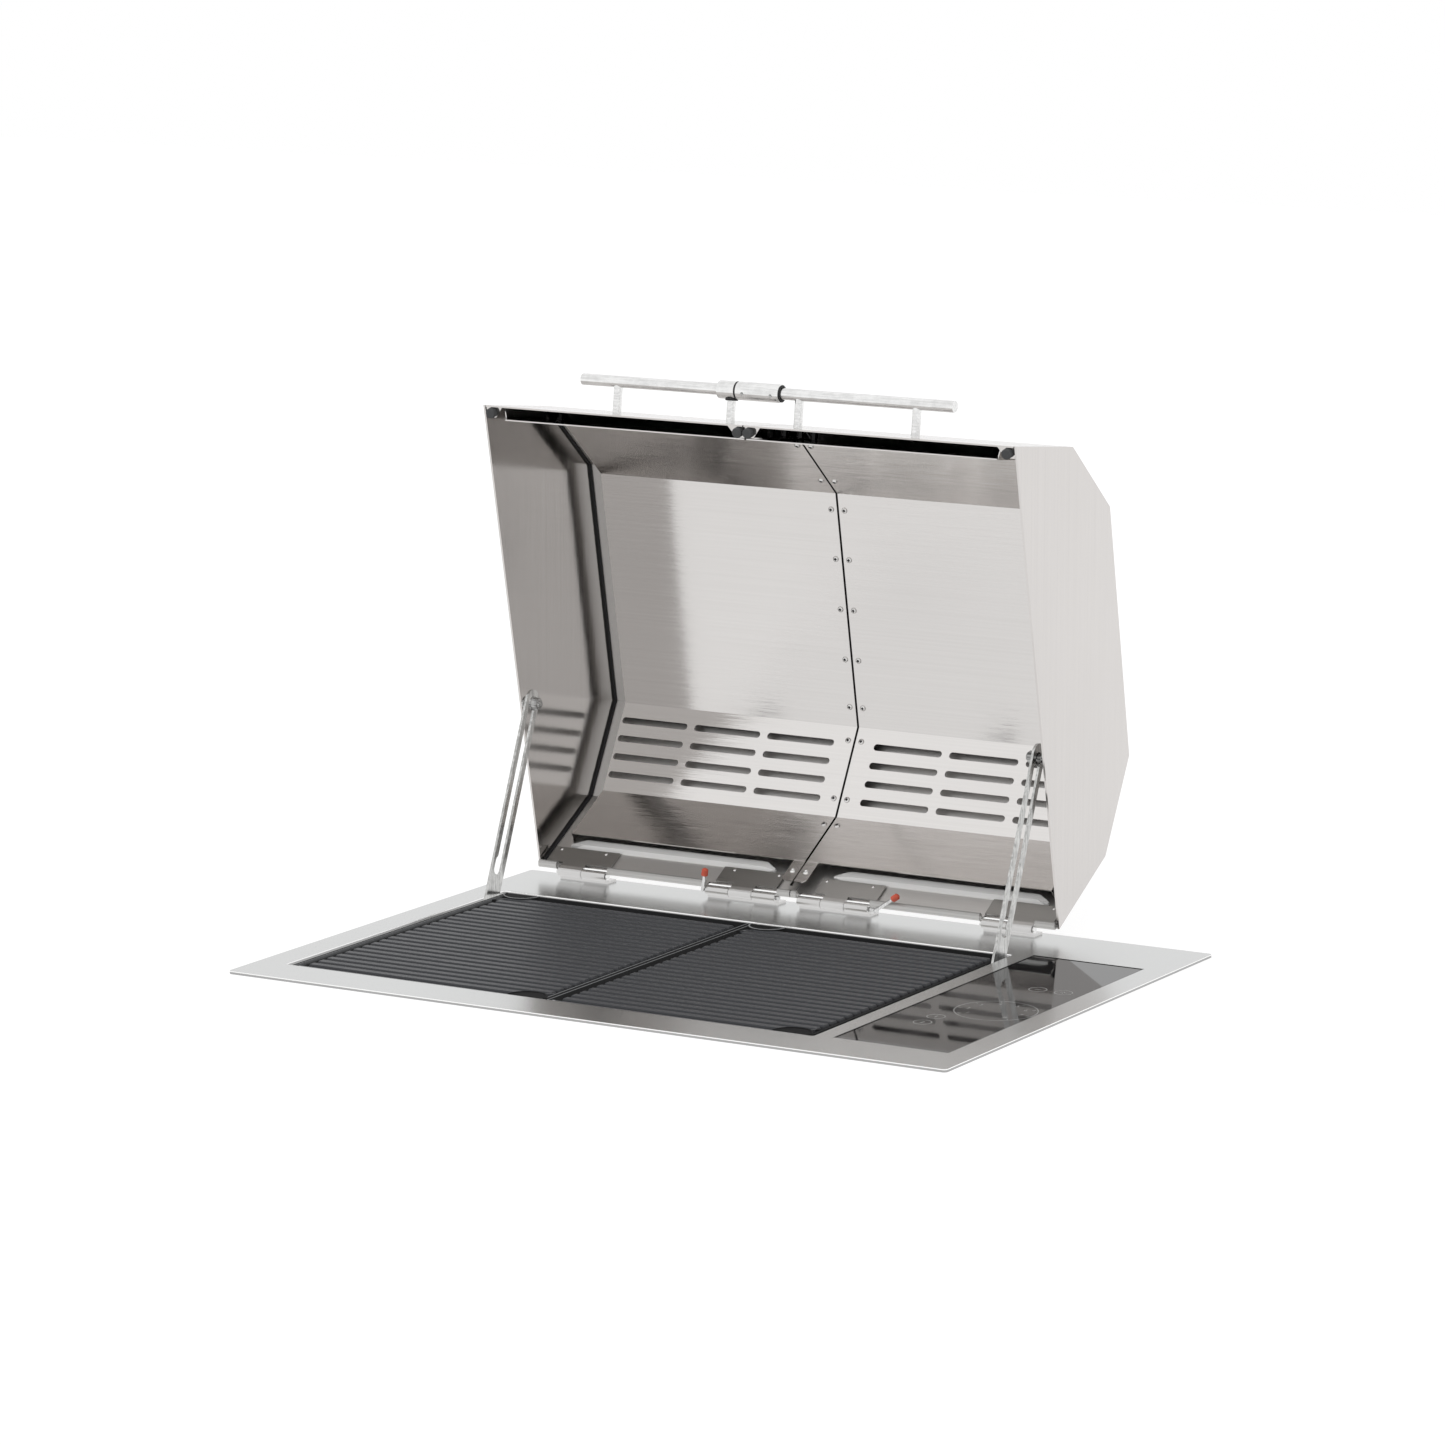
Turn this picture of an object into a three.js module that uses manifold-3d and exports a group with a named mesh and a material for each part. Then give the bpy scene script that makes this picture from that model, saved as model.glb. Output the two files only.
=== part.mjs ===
// Built-in electric grill with two cast grates and a double-wall lid, shown with the lid open.
// Millimetres, +Z up, +X to the right, +Y to the back. The origin is the centre of the pan's
// underside. The lid is drawn closed, in a group at the hinge axis that is then turned open.

import * as THREE from "three";
import { mergeVertices } from "three/addons/utils/BufferGeometryUtils.js";
import Module from "manifold-3d";

const wasm = await Module();
wasm.setup();

// Shared values
const seat = 0.3; // clearance left between pieces that touch
const overrun = 2; // how far a cutting tool passes the face it cuts
const bite = 0.6; // how far welded parts of one piece reach into each other
const fineSides = 20;
const roundSides = 16;
const smallSides = 12;
const cornerSteps = 4;

// Deck: the stainless plate that rests on the worktop
const deckWidth = 775;
const deckDepth = 540;
const deckThickness = 3;
const deckCornerRadius = 4;
const openingLeftMargin = 31;
const openingFrontMargin = 51;
const openingBackMargin = 101;
const openingCornerRadius = 3;
const openingLipDepth = 8;
const openingLipThickness = 1.5;

// Touch glass and the control housing below it
const glassWidth = 116;
const glassThickness = 4;
const glassCornerRadius = 2;
const glassGap = 0.5; // between the glass and the deck's cut-out
const glassRecess = 0.7; // how far the glass lies below the deck's top
const glassFromOpening = 19;
const glassRightMargin = 29;
const glassFrontMargin = 57;
const glassBackMargin = 93;
const housingWall = 2;
const housingRim = 6; // how far the housing reaches past the glass
const housingDepth = 42;
const housingLedge = 5; // the ledge that carries the glass
const touchBoardThickness = 1.6;
const touchBoardSideGap = 12; // from the glass's sides
const touchBoardEndGap = 45; // from the glass's ends
const touchBoardDrop = 6; // from the glass's underside
const powerBoardThickness = 1.6;
const powerBoardSideGap = 13;
const powerBoardEndGap = 85;
const powerBoardHeight = 7; // above the housing's floor
const boardPostSize = 7;
const boardPostInset = 8;
const relaySize = 18;
const relayCount = 4;
const keySize = 9;
const keyCount = 6;

// Pan: the sheet-metal case below the worktop
const panHeight = 97;
const panWall = 1.5;
const panSideMargin = 17; // from the deck's edge to the pan's wall
const panFrontMargin = 20;
const panBackMargin = 22;
const panFlange = 8;
const ventLength = 34;
const ventHeight = 5;
const ventPitch = 12;
const ventCount = 5;
const ventColumnPitch = 60;
const ventColumnCount = 3;

// Firebox below the grates
const fireboxWall = 1.5;
const fireboxFromPanFloor = 19.2; // from the pan's floor to the firebox's
const fireboxFlange = 7;
const ledgeWidth = 12;
const ledgeThickness = 2;
const ledgeEndGap = 26; // leaves room for the stays at both ends
const dividerThickness = 1.5;
const dividerFlange = 14;

// Grates: two ribbed castings
const grateSideGap = 5; // room for the stays beside the grates
const grateFrontGap = 3;
const grateMiddleGap = 1.4;
const grateDrop = 1; // rib tops below the deck's top
const grateHeight = 16;
const grateRimWidth = 3;
const grateGutterFloor = 5; // gutter floor below the rim
const ribPitch = 15;
const ribBaseWidth = 11;
const ribTopWidth = 7.5;
const ribDrop = 0.6; // rib tops below the rim
const ribEndGutter = 5; // gutter between the rim and the rib ends
const ribEndSlope = 4;
const ribSideGutter = 3;
const ribFloorBite = 1;
const recessLeg = 28; // the three-sided finger recess in two corners
const recessWall = 2.5;
const recessFloor = 13.5;

// Heating elements, their bridges, terminal blocks and drip trays
const elementRadius = 4;
const elementRuns = 6;
const elementSideGap = 37.15; // from the grate's side to the outer run's axis
const elementDrop = 25; // from the grate's underside to the element's axis
const elementFrontGap = 34; // from the grate's front edge to the first bend
const elementSides = 8;
const elementBendSteps = 7;
const wallHoleClearance = 0.8;
const bridgeThickness = 1.5;
const bridgeFromFront = 110;
const bridgeBeamHeight = 10;
const bridgeLegWidth = 12;
const bridgeLegGap = 4; // from the tray to the leg
const bridgeFoot = 10;
const terminalWidth = 26;
const terminalDepth = 24;
const terminalHeight = 20;
const traySideGap = 24.15; // from the grate's side
const trayEndGap = 16; // from the grate's ends
const trayHeight = 16;
const trayWall = 1.2;
const trayFlare = 5;

// Supply entry
const junctionWidth = 92;
const junctionDepth = 58;
const junctionHeight = 40;
const junctionWall = 1.5;
const junctionFromGlassMiddle = 0;
const glandRadius = 11;
const glandThreadRadius = 8;
const glandBore = 5;
const glandFlangeThickness = 3;
const glandDomeLength = 14;
const glandNutLength = 5;

// Lid: profile in the closed lid, measured from the hinge axis
const lidOpenAngle = 79.2; // degrees, the opening in the photograph
const hingeFromBackEdge = 24;
const hingeHeight = 8; // axis above the deck's top
const lidSideOverhang = 8.5; // past the cooking opening
const lidFrontMargin = 19; // from the deck's front edge to the closed lid's lip
const lidFrontLip = -3; // the front lip's height against the axis
const lidBackGap = 2;
const lidBackLip = 4;
const shoulderHeight = 110;
const shoulderInset = 36;
const lidTopHeight = 176;
const topInset = 118;
const shellSheet = 1.5;
const linerSheet = 1.2;
const linerGap = 13; // from the outer skin's face to the liner's back
const linerFrontLip = -1;
const linerBackLip = 36;
const linerSideGap = 20.8; // bare strip of skin between the liner's edge and the side panel
const linerFlangeRun = 3; // how far the edge leans out on its way down to the skin
const linerFlangeLow = 1; // height at which that flange stops above the gusset
const shellSideGap = 0.7;
const sidePanelThickness = 2;
const seamGap = 2.4;
const seamStripWidth = 29;
const seamTabTip = 3; // width of the tab's tip
const seamTabTaper = 8; // height at which the taper meets the tip
const seamTabEnd = 3;
const seamFrontLip = 6;
const beadLow = 30.7; // height of the pressed bead's lower edge on the back wall
const beadHeight = 15;
const beadRise = 4;
const beadEndHeight = 3.5;
const beadEndSlope = 14; // run over which its upper edge comes down
const beadEndInset = 1.5; // from the liner's end
const beadInnerEnd = 34;
const hemRadius = 2.8; // the rolled edge between the hinges
const hemForward = [5.07, 7.23]; // its two centres, in front of the axis
const hemRise = [0.66, 1.07]; // and above it
const hemClearance = 1;
const hemShare = 1 / 60; // share of the back wall at which the rolled edge's web starts
const spacerRadius = 4; // posts that carry the liner, welded to the skin
const spacerFromSeam = 24;
const spacerFromEnd = 7.2;
const seamSpacer = 9; // from the seam to the posts that carry the seam strip
const spacerShares = [[0, 2 / 3], [2, 1 / 6], [2, 5 / 6], [4, 1 / 6]]; // panel, share along it
const spacerSides = 8;
const gussetThickness = 1.5;
const gussetWidth = 19;
const gussetTaper = 9;
const gussetRise = 1.2; // above the front lip
const bumperRadius = 5.2;
const bumperHeight = 5.4;
const bumperOuterInset = 9.5; // from the lid's side to the bumper's axis
const bumperInnerInset = 5.8; // from the seam to the bumper's axis
const bumperEdge = 0.8;

// Vent slots in the liner's back chamfer
const slotFieldInset = 1.8; // from the liner's end
const slotSpacing = 8.5; // between two slots of a row
const slotHeight = 7;
const slotPitchRow = 19.7;
const slotColumns = 3;
const slotRows = 4;
const slotFirstRow = 19.5;
const slotInnerEnd = 23;
const slotSides = 5;

// Handle
const handleTubeRadius = 5.8;
const handleEndInset = 89.5; // from the lid's side
const handleOffset = 32; // tube axis above the lid's front face
const handleFromLip = 41; // along the front face, from the lip
const handlePostRadius = 4.5;
const handleOuterPostInset = 41; // from the tube's end
const handleInnerPost = 38;
const handleTubeGap = 1;
const sleeveRadius = 9.2;
const sleeveBore = 6.2;
const sleeveLeftEnd = -30;
const sleeveRightEnd = 18;
const collarLength = 21;
const collarRadius = 9;
const collarPostClearance = 0.8;
const setScrewHoleRadius = 1.8;
const setScrewPlaces = [-22, 10];

// Hinges
const knuckleRadius = 5;
const knuckleBore = 2.4;
const hingePinRadius = 2;
const pinHeadRadius = 3.4;
const pinHeadLength = 1.6;
const knuckleGap = 0.4;
const innerHingeLength = 80.5;
const innerHingeStarts = { left: 17, right: 8.5 }; // from the lid's middle
const outerHingeInset = 26.5; // from the lid's side to the outer hinge's knuckles
const outerKnuckleLength = 28;
const leafThickness = 2;
const lidLeafTop = 30;
const lidLeafBottom = 9;
const innerLeafLength = 70.5;
const innerLeafStarts = { left: 20.7, right: 23.5 };
const outerLeafInset = 7.5; // from the lid's side
const outerLeafLength = 76;
const tongueBottom = 1.5;
const tongueGap = 0.5;
const baseLeafReach = 19;
const baseWebFront = 1.5;
const hingeNotchTop = 8;
const hingeNotchGap = 1.5;

// Hinge-release pins
const releaseInnerReach = 3.5; // past the inner knuckle
const releaseStandOut = 2.2; // from the outer knuckle to the lever's axis
const releaseJoggle = 5.6; // how far the lever steps forward of the axis, to pass the rolled edge
const releaseLeverUps = { left: 18.8, right: 16.5 }; // from the step to the cap's middle
const releaseLeverOuts = { left: -3, right: 23.6 }; // the right lever leans outwards
const releaseDrawn = { left: 0, right: 6.8 }; // the right pin stands a little drawn
const releaseCapLength = 8;
const releaseCapRadius = 3.4;
const releaseBend = 3;
const releaseWireRadius = 1.7;

// Stays
const stayThickness = 2.5;
const stayFromOpening = 0.6;
const stayWidth = 24;
const stayTopReach = 14; // past the stud
const staySlotWidth = 11;
const staySlotStart = 54; // slot's lower end, from the pivot
const stayNotchDepth = 2.6;
const stayNotchLength = 8;
const stayPivotForward = 115;
const stayPivotDrop = 38;
const stayPivotRadius = 3;
const stayPivotClearance = 0.3;
const pivotHeadRadius = 5.5;
const pivotHeadLength = 2.2;
const pivotCollarRadius = 6;
const studForward = 178.2;
const studHeight = 7.5;
const studRadius = 4;
const studBaseRadius = 6.5;
const studBaseLength = 1.5;
const washerRadius = 7.2;
const washerThickness = 1.4;
const nutRadius = 6.4;
const nutLength = 6;
const nutSides = 6;
const nutDomeRadius = 3.6;
const nutDomeLength = 2;

// Places worked out from the sizes above
const deckTop = panHeight + deckThickness;
const deckBottom = panHeight;
const deckLeft = -deckWidth / 2;
const deckFront = -deckDepth / 2;
const deckBack = deckDepth / 2;
const openingLeft = deckLeft + openingLeftMargin;
const openingRight = deckLeft + deckWidth - glassRightMargin - glassWidth - glassFromOpening;
const openingWidth = openingRight - openingLeft;
const openingFront = deckFront + openingFrontMargin;
const openingBack = deckBack - openingBackMargin;
const openingMiddle = (openingLeft + openingRight) / 2;
const glassLeft = openingRight + glassFromOpening;
const glassRight = glassLeft + glassWidth;
const glassFront = deckFront + glassFrontMargin;
const glassBack = deckBack - glassBackMargin;
const glassDepth = glassBack - glassFront;
const glassMiddle = (glassLeft + glassRight) / 2;
const hingeY = deckBack - hingeFromBackEdge;
const hingeZ = deckTop + hingeHeight;
const lidHalf = openingWidth / 2 + lidSideOverhang;
const lidReach = deckDepth - hingeFromBackEdge - lidFrontMargin; // hinge axis to front lip
const shellEnd = lidHalf - sidePanelThickness - shellSideGap;
const linerEnd = lidHalf - sidePanelThickness - linerSideGap;
const outerHinge = {
  baseStart: lidHalf - outerHingeInset - 2 * outerKnuckleLength,
  lidStart: lidHalf - outerHingeInset - outerKnuckleLength,
  end: lidHalf - outerHingeInset,
};
const outerLeaf = {
  start: lidHalf - outerLeafInset - outerLeafLength,
  end: lidHalf - outerLeafInset,
};
const radians = THREE.MathUtils.degToRad;
// The inner hinge of one half: three equal knuckles, and the lid's leaf above them.
function innerHingeOf(half) {
  const start = innerHingeStarts[half];
  const knuckleLength = innerHingeLength / 3;
  return {
    start,
    lidStart: start + knuckleLength,
    lidEnd: start + 2 * knuckleLength,
    end: start + innerHingeLength,
  };
}

// Materials of the real pieces
function metal(name, color, roughness) {
  return new THREE.MeshStandardMaterial({ name, color, roughness, metalness: 1 });
}
function plain(name, color, roughness) {
  return new THREE.MeshStandardMaterial({ name, color, roughness, metalness: 0 });
}
const materials = {
  stainless: metal("brushed_stainless", 0xc9c9c6, 0.3),
  polished: metal("polished_stainless", 0xd9d9d7, 0.15),
  galvanised: metal("galvanised_steel", 0xa9adae, 0.45),
  grate: metal("cast_grate", 0x35373a, 0.6),
  element: metal("element_sheath", 0x4b4643, 0.55),
  tray: metal("aluminium_tray", 0xbdbdbb, 0.4),
  glass: plain("black_glass", 0x0b0c0d, 0.05),
  housing: plain("housing_plastic", 0x1d1e20, 0.5),
  board: plain("circuit_board", 0x1f5a35, 0.6),
  rubber: plain("bumper_rubber", 0x3c3d3e, 0.85),
  cap: plain("red_cap", 0xc4321d, 0.4),
  ceramic: plain("terminal_ceramic", 0xe7e2d6, 0.7),
  gland: plain("gland_plastic", 0x2a2b2d, 0.5),
};

// Joining and cutting with manifold-3d
function toSolid(geometry) {
  const plainGeometry = geometry.index ? geometry.clone() : geometry;
  plainGeometry.deleteAttribute("normal");
  plainGeometry.deleteAttribute("uv");
  const merged = mergeVertices(plainGeometry, 1e-4);
  return new wasm.Manifold(
    new wasm.Mesh({
      numProp: 3,
      vertProperties: merged.attributes.position.array,
      triVerts: new Uint32Array(merged.index.array),
    }),
  );
}
function toGeometry(solid) {
  const mesh = solid.getMesh();
  return new THREE.BufferGeometry()
    .setAttribute("position", new THREE.BufferAttribute(new Float32Array(mesh.vertProperties), 3))
    .setIndex(new THREE.BufferAttribute(new Uint32Array(mesh.triVerts), 1));
}
function join(...solids) {
  return solids.reduce((whole, next) => whole.add(next));
}
function cut(body, ...tools) {
  return tools.reduce((rest, tool) => rest.subtract(tool), body);
}

// Shapes as solids
function box(x0, x1, y0, y1, z0, z1) {
  const geometry = new THREE.BoxGeometry(x1 - x0, y1 - y0, z1 - z0);
  return toSolid(geometry.translate((x0 + x1) / 2, (y0 + y1) / 2, (z0 + z1) / 2));
}
function rectangle(x0, x1, y0, y1, radius = 0) {
  const shape = new THREE.Shape();
  if (!radius) {
    shape.moveTo(x0, y0).lineTo(x1, y0).lineTo(x1, y1).lineTo(x0, y1).closePath();
    return shape;
  }
  const quarter = Math.PI / 2;
  shape.absarc(x1 - radius, y0 + radius, radius, -quarter, 0);
  shape.absarc(x1 - radius, y1 - radius, radius, 0, quarter);
  shape.absarc(x0 + radius, y1 - radius, radius, quarter, Math.PI);
  shape.absarc(x0 + radius, y0 + radius, radius, Math.PI, Math.PI + quarter);
  return shape;
}
function plateZ(shape, z0, z1, curveSegments = cornerSteps) {
  const options = { depth: z1 - z0, bevelEnabled: false, curveSegments };
  return toSolid(new THREE.ExtrudeGeometry(shape, options).translate(0, 0, z0));
}
// A shape drawn with (y, z) as its axes, extruded along X.
const alongX = new THREE.Matrix4().makeBasis(
  new THREE.Vector3(0, 1, 0),
  new THREE.Vector3(0, 0, 1),
  new THREE.Vector3(1, 0, 0),
);
function plateX(shape, x0, x1, curveSegments = cornerSteps) {
  const options = { depth: x1 - x0, bevelEnabled: false, curveSegments };
  const geometry = new THREE.ExtrudeGeometry(shape, options).applyMatrix4(alongX);
  return toSolid(geometry.translate(x0, 0, 0));
}
// A solid between two outlines of equally many (y, z) points, the first at x0, the last at x1.
function loftX(from, to, x0, x1) {
  const many = from.length;
  const caps = THREE.ShapeUtils.triangulateShape(to, []);
  const index = [];
  caps.forEach(([a, b, c]) => index.push(a + many, b + many, c + many, a, c, b));
  for (let i = 0; i < many; i += 1) {
    const next = (i + 1) % many;
    index.push(i, next, next + many, i, next + many, i + many);
  }
  const positions = [
    ...from.flatMap((point) => [x0, point.x, point.y]),
    ...to.flatMap((point) => [x1, point.x, point.y]),
  ];
  const geometry = new THREE.BufferGeometry()
    .setAttribute("position", new THREE.Float32BufferAttribute(positions, 3))
    .setIndex(index);
  return toSolid(geometry);
}
function outline(points) {
  return new THREE.Shape(points.map(([u, v]) => new THREE.Vector2(u, v)));
}
function rodX(radius, x0, x1, y, z, sides = roundSides) {
  const geometry = new THREE.CylinderGeometry(radius, radius, x1 - x0, sides);
  return toSolid(geometry.rotateZ(Math.PI / 2).translate((x0 + x1) / 2, y, z));
}
function rodY(radius, y0, y1, x, z, sides = roundSides) {
  const geometry = new THREE.CylinderGeometry(radius, radius, y1 - y0, sides);
  return toSolid(geometry.translate(x, (y0 + y1) / 2, z));
}
function rodZ(radius, z0, z1, x, y, sides = roundSides) {
  const geometry = new THREE.CylinderGeometry(radius, radius, z1 - z0, sides);
  return toSolid(geometry.rotateX(Math.PI / 2).translate(x, y, (z0 + z1) / 2));
}
// A round rod between two points.
function rodBetween(start, end, radius, sides = smallSides) {
  const line = end.clone().sub(start);
  const geometry = new THREE.CylinderGeometry(radius, radius, line.length(), sides);
  const turn = new THREE.Quaternion().setFromUnitVectors(
    new THREE.Vector3(0, 1, 0),
    line.clone().normalize(),
  );
  const middle = start.clone().add(end).multiplyScalar(1 / 2);
  return toSolid(geometry.applyQuaternion(turn).translate(middle.x, middle.y, middle.z));
}
// A bead of fixed radius along a path, with flat ends.
function tubeAlong(curve, radius, sides, steps) {
  const circle = new THREE.Shape().absarc(0, 0, radius, 0, Math.PI * 2);
  const options = { steps, extrudePath: curve, curveSegments: sides, bevelEnabled: false };
  return toSolid(new THREE.ExtrudeGeometry(circle, options));
}

// Open polylines in the lid's (y, z) plane
function offsetLine(points, distance) {
  const normals = points.slice(1).map((point, i) => {
    const direction = point.clone().sub(points[i]).normalize();
    return new THREE.Vector2(-direction.y, direction.x);
  });
  return points.map((point, i) => {
    const before = normals[Math.max(i - 1, 0)];
    const after = normals[Math.min(i, normals.length - 1)];
    const middle = before.clone().add(after).normalize();
    return point.clone().addScaledVector(middle, distance / middle.dot(before));
  });
}
function sheetOutline(points, inner, outer) {
  return new THREE.Shape([...offsetLine(points, inner), ...offsetLine(points, outer).reverse()]);
}
// The point of a polyline's end segment that lies at height z.
function atHeight(from, to, z) {
  const share = (z - from.y) / (to.y - from.y);
  return from.clone().lerp(to, share);
}

const part = new THREE.Group();
const lid = new THREE.Group();
lid.position.set(openingMiddle, hingeY, hingeZ);
lid.rotation.x = -radians(lidOpenAngle);
part.add(lid);

function addTo(group, name, solid, material) {
  const mesh = new THREE.Mesh(toGeometry(solid), material);
  mesh.name = name;
  group.add(mesh);
  return mesh;
}
// Left and right copies of a piece drawn on the lid's or the opening's right-hand side.
function mirrored(solid) {
  return solid.mirror([1, 0, 0]);
}

// Deck with its two cut-outs and the turned-down lip of the cooking opening
function makeDeck() {
  const plate = rectangle(deckLeft, -deckLeft, deckFront, deckBack, deckCornerRadius);
  const opening = rectangle(
    openingLeft, openingRight, openingFront, openingBack, openingCornerRadius,
  );
  plate.holes.push(opening);
  plate.holes.push(
    rectangle(
      glassLeft - glassGap, glassRight + glassGap,
      glassFront - glassGap, glassBack + glassGap,
      glassCornerRadius,
    ),
  );
  const lip = rectangle(
    openingLeft - openingLipThickness, openingRight + openingLipThickness,
    openingFront - openingLipThickness, openingBack + openingLipThickness,
    openingCornerRadius + openingLipThickness,
  );
  lip.holes.push(opening);
  return join(
    plateZ(plate, deckBottom, deckTop),
    plateZ(lip, deckBottom - openingLipDepth, deckBottom + bite),
  );
}
addTo(part, "deck", makeDeck(), materials.stainless);

// Pan below the worktop, with a turned-out flange, cooling slots and the gland's hole
const panLeft = deckLeft + panSideMargin;
const panRight = -panLeft;
const panFront = deckFront + panFrontMargin;
const panBack = deckBack - panBackMargin;
const panTop = deckBottom - seat;
const glandX = glassMiddle + junctionFromGlassMiddle;
const glandZ = panWall + seat + junctionHeight / 2;
function makePan() {
  const shell = cut(
    box(panLeft, panRight, panFront, panBack, 0, panTop),
    box(
      panLeft + panWall, panRight - panWall, panFront + panWall, panBack - panWall,
      panWall, panTop + overrun,
    ),
  );
  const rim = rectangle(
    panLeft - panFlange, panRight + panFlange, panFront - panFlange, panBack + panFlange,
  );
  rim.holes.push(
    rectangle(panLeft + panWall, panRight - panWall, panFront + panWall, panBack - panWall),
  );
  const vents = [];
  for (let column = 0; column < ventColumnCount; column += 1) {
    for (let row = 0; row < ventCount; row += 1) {
      const y = (column - (ventColumnCount - 1) / 2) * ventColumnPitch;
      const z = panTop / 2 + (row - (ventCount - 1) / 2) * ventPitch;
      vents.push(
        box(
          panRight - panWall - overrun, panRight + overrun,
          y - ventLength / 2, y + ventLength / 2,
          z - ventHeight / 2, z + ventHeight / 2,
        ),
      );
    }
  }
  return cut(
    join(shell, plateZ(rim, panTop - panWall, panTop)),
    ...vents,
    rodY(glandThreadRadius + seat, panBack - panWall - overrun, panBack + overrun, glandX, glandZ),
  );
}
addTo(part, "base_pan", makePan(), materials.galvanised);

// Grates: measured places first, because the firebox carries them
const grateLeft = openingLeft + grateSideGap;
const grateRight = openingRight - grateSideGap;
const grateWidth = (grateRight - grateLeft - grateMiddleGap) / 2;
const grateFront = openingFront + grateFrontGap;
const grateBack = openingBack - grateFrontGap;
const grateTop = deckTop - grateDrop;
const grateBottom = grateTop - grateHeight;
const zoneMiddle = (grateWidth + grateMiddleGap) / 2; // from the opening's middle to a grate's

// Firebox: an open stainless tub under the opening, with ledges for the grates
const fireboxLeft = openingLeft - openingLipThickness - seat;
const fireboxRight = openingRight + openingLipThickness + seat;
const fireboxFront = openingFront - openingLipThickness - seat;
const fireboxBack = openingBack + openingLipThickness + seat;
const fireboxTop = deckBottom - seat;
const fireboxFloor = panWall + fireboxFromPanFloor;
const elementZ = grateBottom - elementDrop;
const elementPitch = (grateWidth - 2 * elementSideGap) / (elementRuns - 1);
const terminalXs = [-1, 1].map((side) => (side * (elementRuns - 1) * elementPitch) / 2);
function makeFirebox() {
  const shell = cut(
    box(
      fireboxLeft - fireboxWall, fireboxRight + fireboxWall,
      fireboxFront - fireboxWall, fireboxBack + fireboxWall,
      fireboxFloor - fireboxWall, fireboxTop,
    ),
    box(
      fireboxLeft, fireboxRight, fireboxFront, fireboxBack, fireboxFloor, fireboxTop + overrun,
    ),
  );
  const rim = rectangle(
    fireboxLeft - fireboxFlange, fireboxRight + fireboxFlange,
    fireboxFront - fireboxFlange, fireboxBack + fireboxFlange,
  );
  rim.holes.push(rectangle(fireboxLeft, fireboxRight, fireboxFront, fireboxBack));
  const ledgeTop = grateBottom - seat;
  const ledges = [
    [fireboxFront - bite, fireboxFront + ledgeWidth],
    [fireboxBack - ledgeWidth, fireboxBack + bite],
  ].map(([y0, y1]) =>
    box(
      fireboxLeft + ledgeEndGap, fireboxRight - ledgeEndGap,
      y0, y1, ledgeTop - ledgeThickness, ledgeTop,
    ),
  );
  const holes = [-zoneMiddle, zoneMiddle].flatMap((zone) =>
    terminalXs.map((x) =>
      rodY(
        elementRadius + wallHoleClearance,
        fireboxBack - overrun, fireboxBack + fireboxWall + overrun,
        openingMiddle + zone + x, elementZ, smallSides,
      ),
    ),
  );
  return cut(
    join(shell, plateZ(rim, fireboxTop - fireboxWall, fireboxTop), ...ledges),
    ...holes,
  );
}
addTo(part, "firebox", makeFirebox(), materials.stainless);

// Centre support: a folded sheet that parts the two zones and carries the grates' inner edges
function makeDivider() {
  const front = fireboxFront + ledgeWidth + seat;
  const back = fireboxBack - ledgeWidth - seat;
  const top = grateBottom - seat;
  return join(
    box(
      openingMiddle - dividerThickness / 2, openingMiddle + dividerThickness / 2,
      front, back, fireboxFloor + seat, top,
    ),
    box(
      openingMiddle - dividerFlange / 2, openingMiddle + dividerFlange / 2,
      front, back, top - dividerThickness, top,
    ),
  );
}
addTo(part, "centre_support", makeDivider(), materials.stainless);

// One grate, drawn about its own middle with its top at zero
function makeGrate() {
  const halfWidth = grateWidth / 2;
  const halfDepth = (grateBack - grateFront) / 2;
  const block = box(-halfWidth, halfWidth, -halfDepth, halfDepth, -grateHeight, 0);
  const trough = box(
    -halfWidth + grateRimWidth, halfWidth - grateRimWidth,
    -halfDepth + grateRimWidth, halfDepth - grateRimWidth,
    -grateGutterFloor, overrun,
  );
  const ribSpace = 2 * (halfDepth - grateRimWidth - ribSideGutter) - ribBaseWidth;
  const ribCount = Math.floor(ribSpace / ribPitch) + 1;
  const ribTop = -ribDrop;
  const ribFoot = -grateGutterFloor - ribFloorBite;
  const ribHalf = halfWidth - grateRimWidth - ribEndGutter;
  const ribs = [];
  for (let i = 0; i < ribCount; i += 1) {
    const y = (i - (ribCount - 1) / 2) * ribPitch;
    const section = outline([
      [y - ribBaseWidth / 2, ribFoot],
      [y + ribBaseWidth / 2, ribFoot],
      [y + ribTopWidth / 2, ribTop],
      [y - ribTopWidth / 2, ribTop],
    ]);
    ribs.push(plateX(section, -ribHalf, ribHalf));
  }
  // The rib ends are sloped together by two wedges that run the whole depth.
  const wedges = [-1, 1].map((side) => {
    const wedge = new THREE.Shape()
      .moveTo(side * ribHalf, ribFoot - overrun)
      .lineTo(side * (ribHalf + overrun), ribFoot - overrun)
      .lineTo(side * (ribHalf + overrun), overrun)
      .lineTo(side * (ribHalf - ribEndSlope), overrun)
      .closePath();
    const depth = 2 * halfDepth;
    const geometry = new THREE.ExtrudeGeometry(wedge, { depth, bevelEnabled: false });
    return toSolid(geometry.rotateX(Math.PI / 2).translate(0, halfDepth, 0));
  });
  const ribbing = cut(join(...ribs), ...wedges);
  // Two opposite corners have a three-sided recess, so that a lifter can hook the casting.
  const corner = (side, leg) => {
    const x = side * (halfWidth - grateRimWidth);
    const y = -side * (halfDepth - grateRimWidth);
    return outline([[x, y], [x, y + side * leg], [x - side * leg, y]]);
  };
  const wallLeg = recessLeg + recessWall * Math.SQRT2;
  const walls = [-1, 1].map((side) =>
    plateZ(corner(side, wallLeg), -grateGutterFloor - bite, -ribDrop),
  );
  const pockets = [-1, 1].map((side) => plateZ(corner(side, recessLeg), -recessFloor, overrun));
  return cut(join(cut(block, trough), ribbing, ...walls), ...pockets);
}
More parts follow.
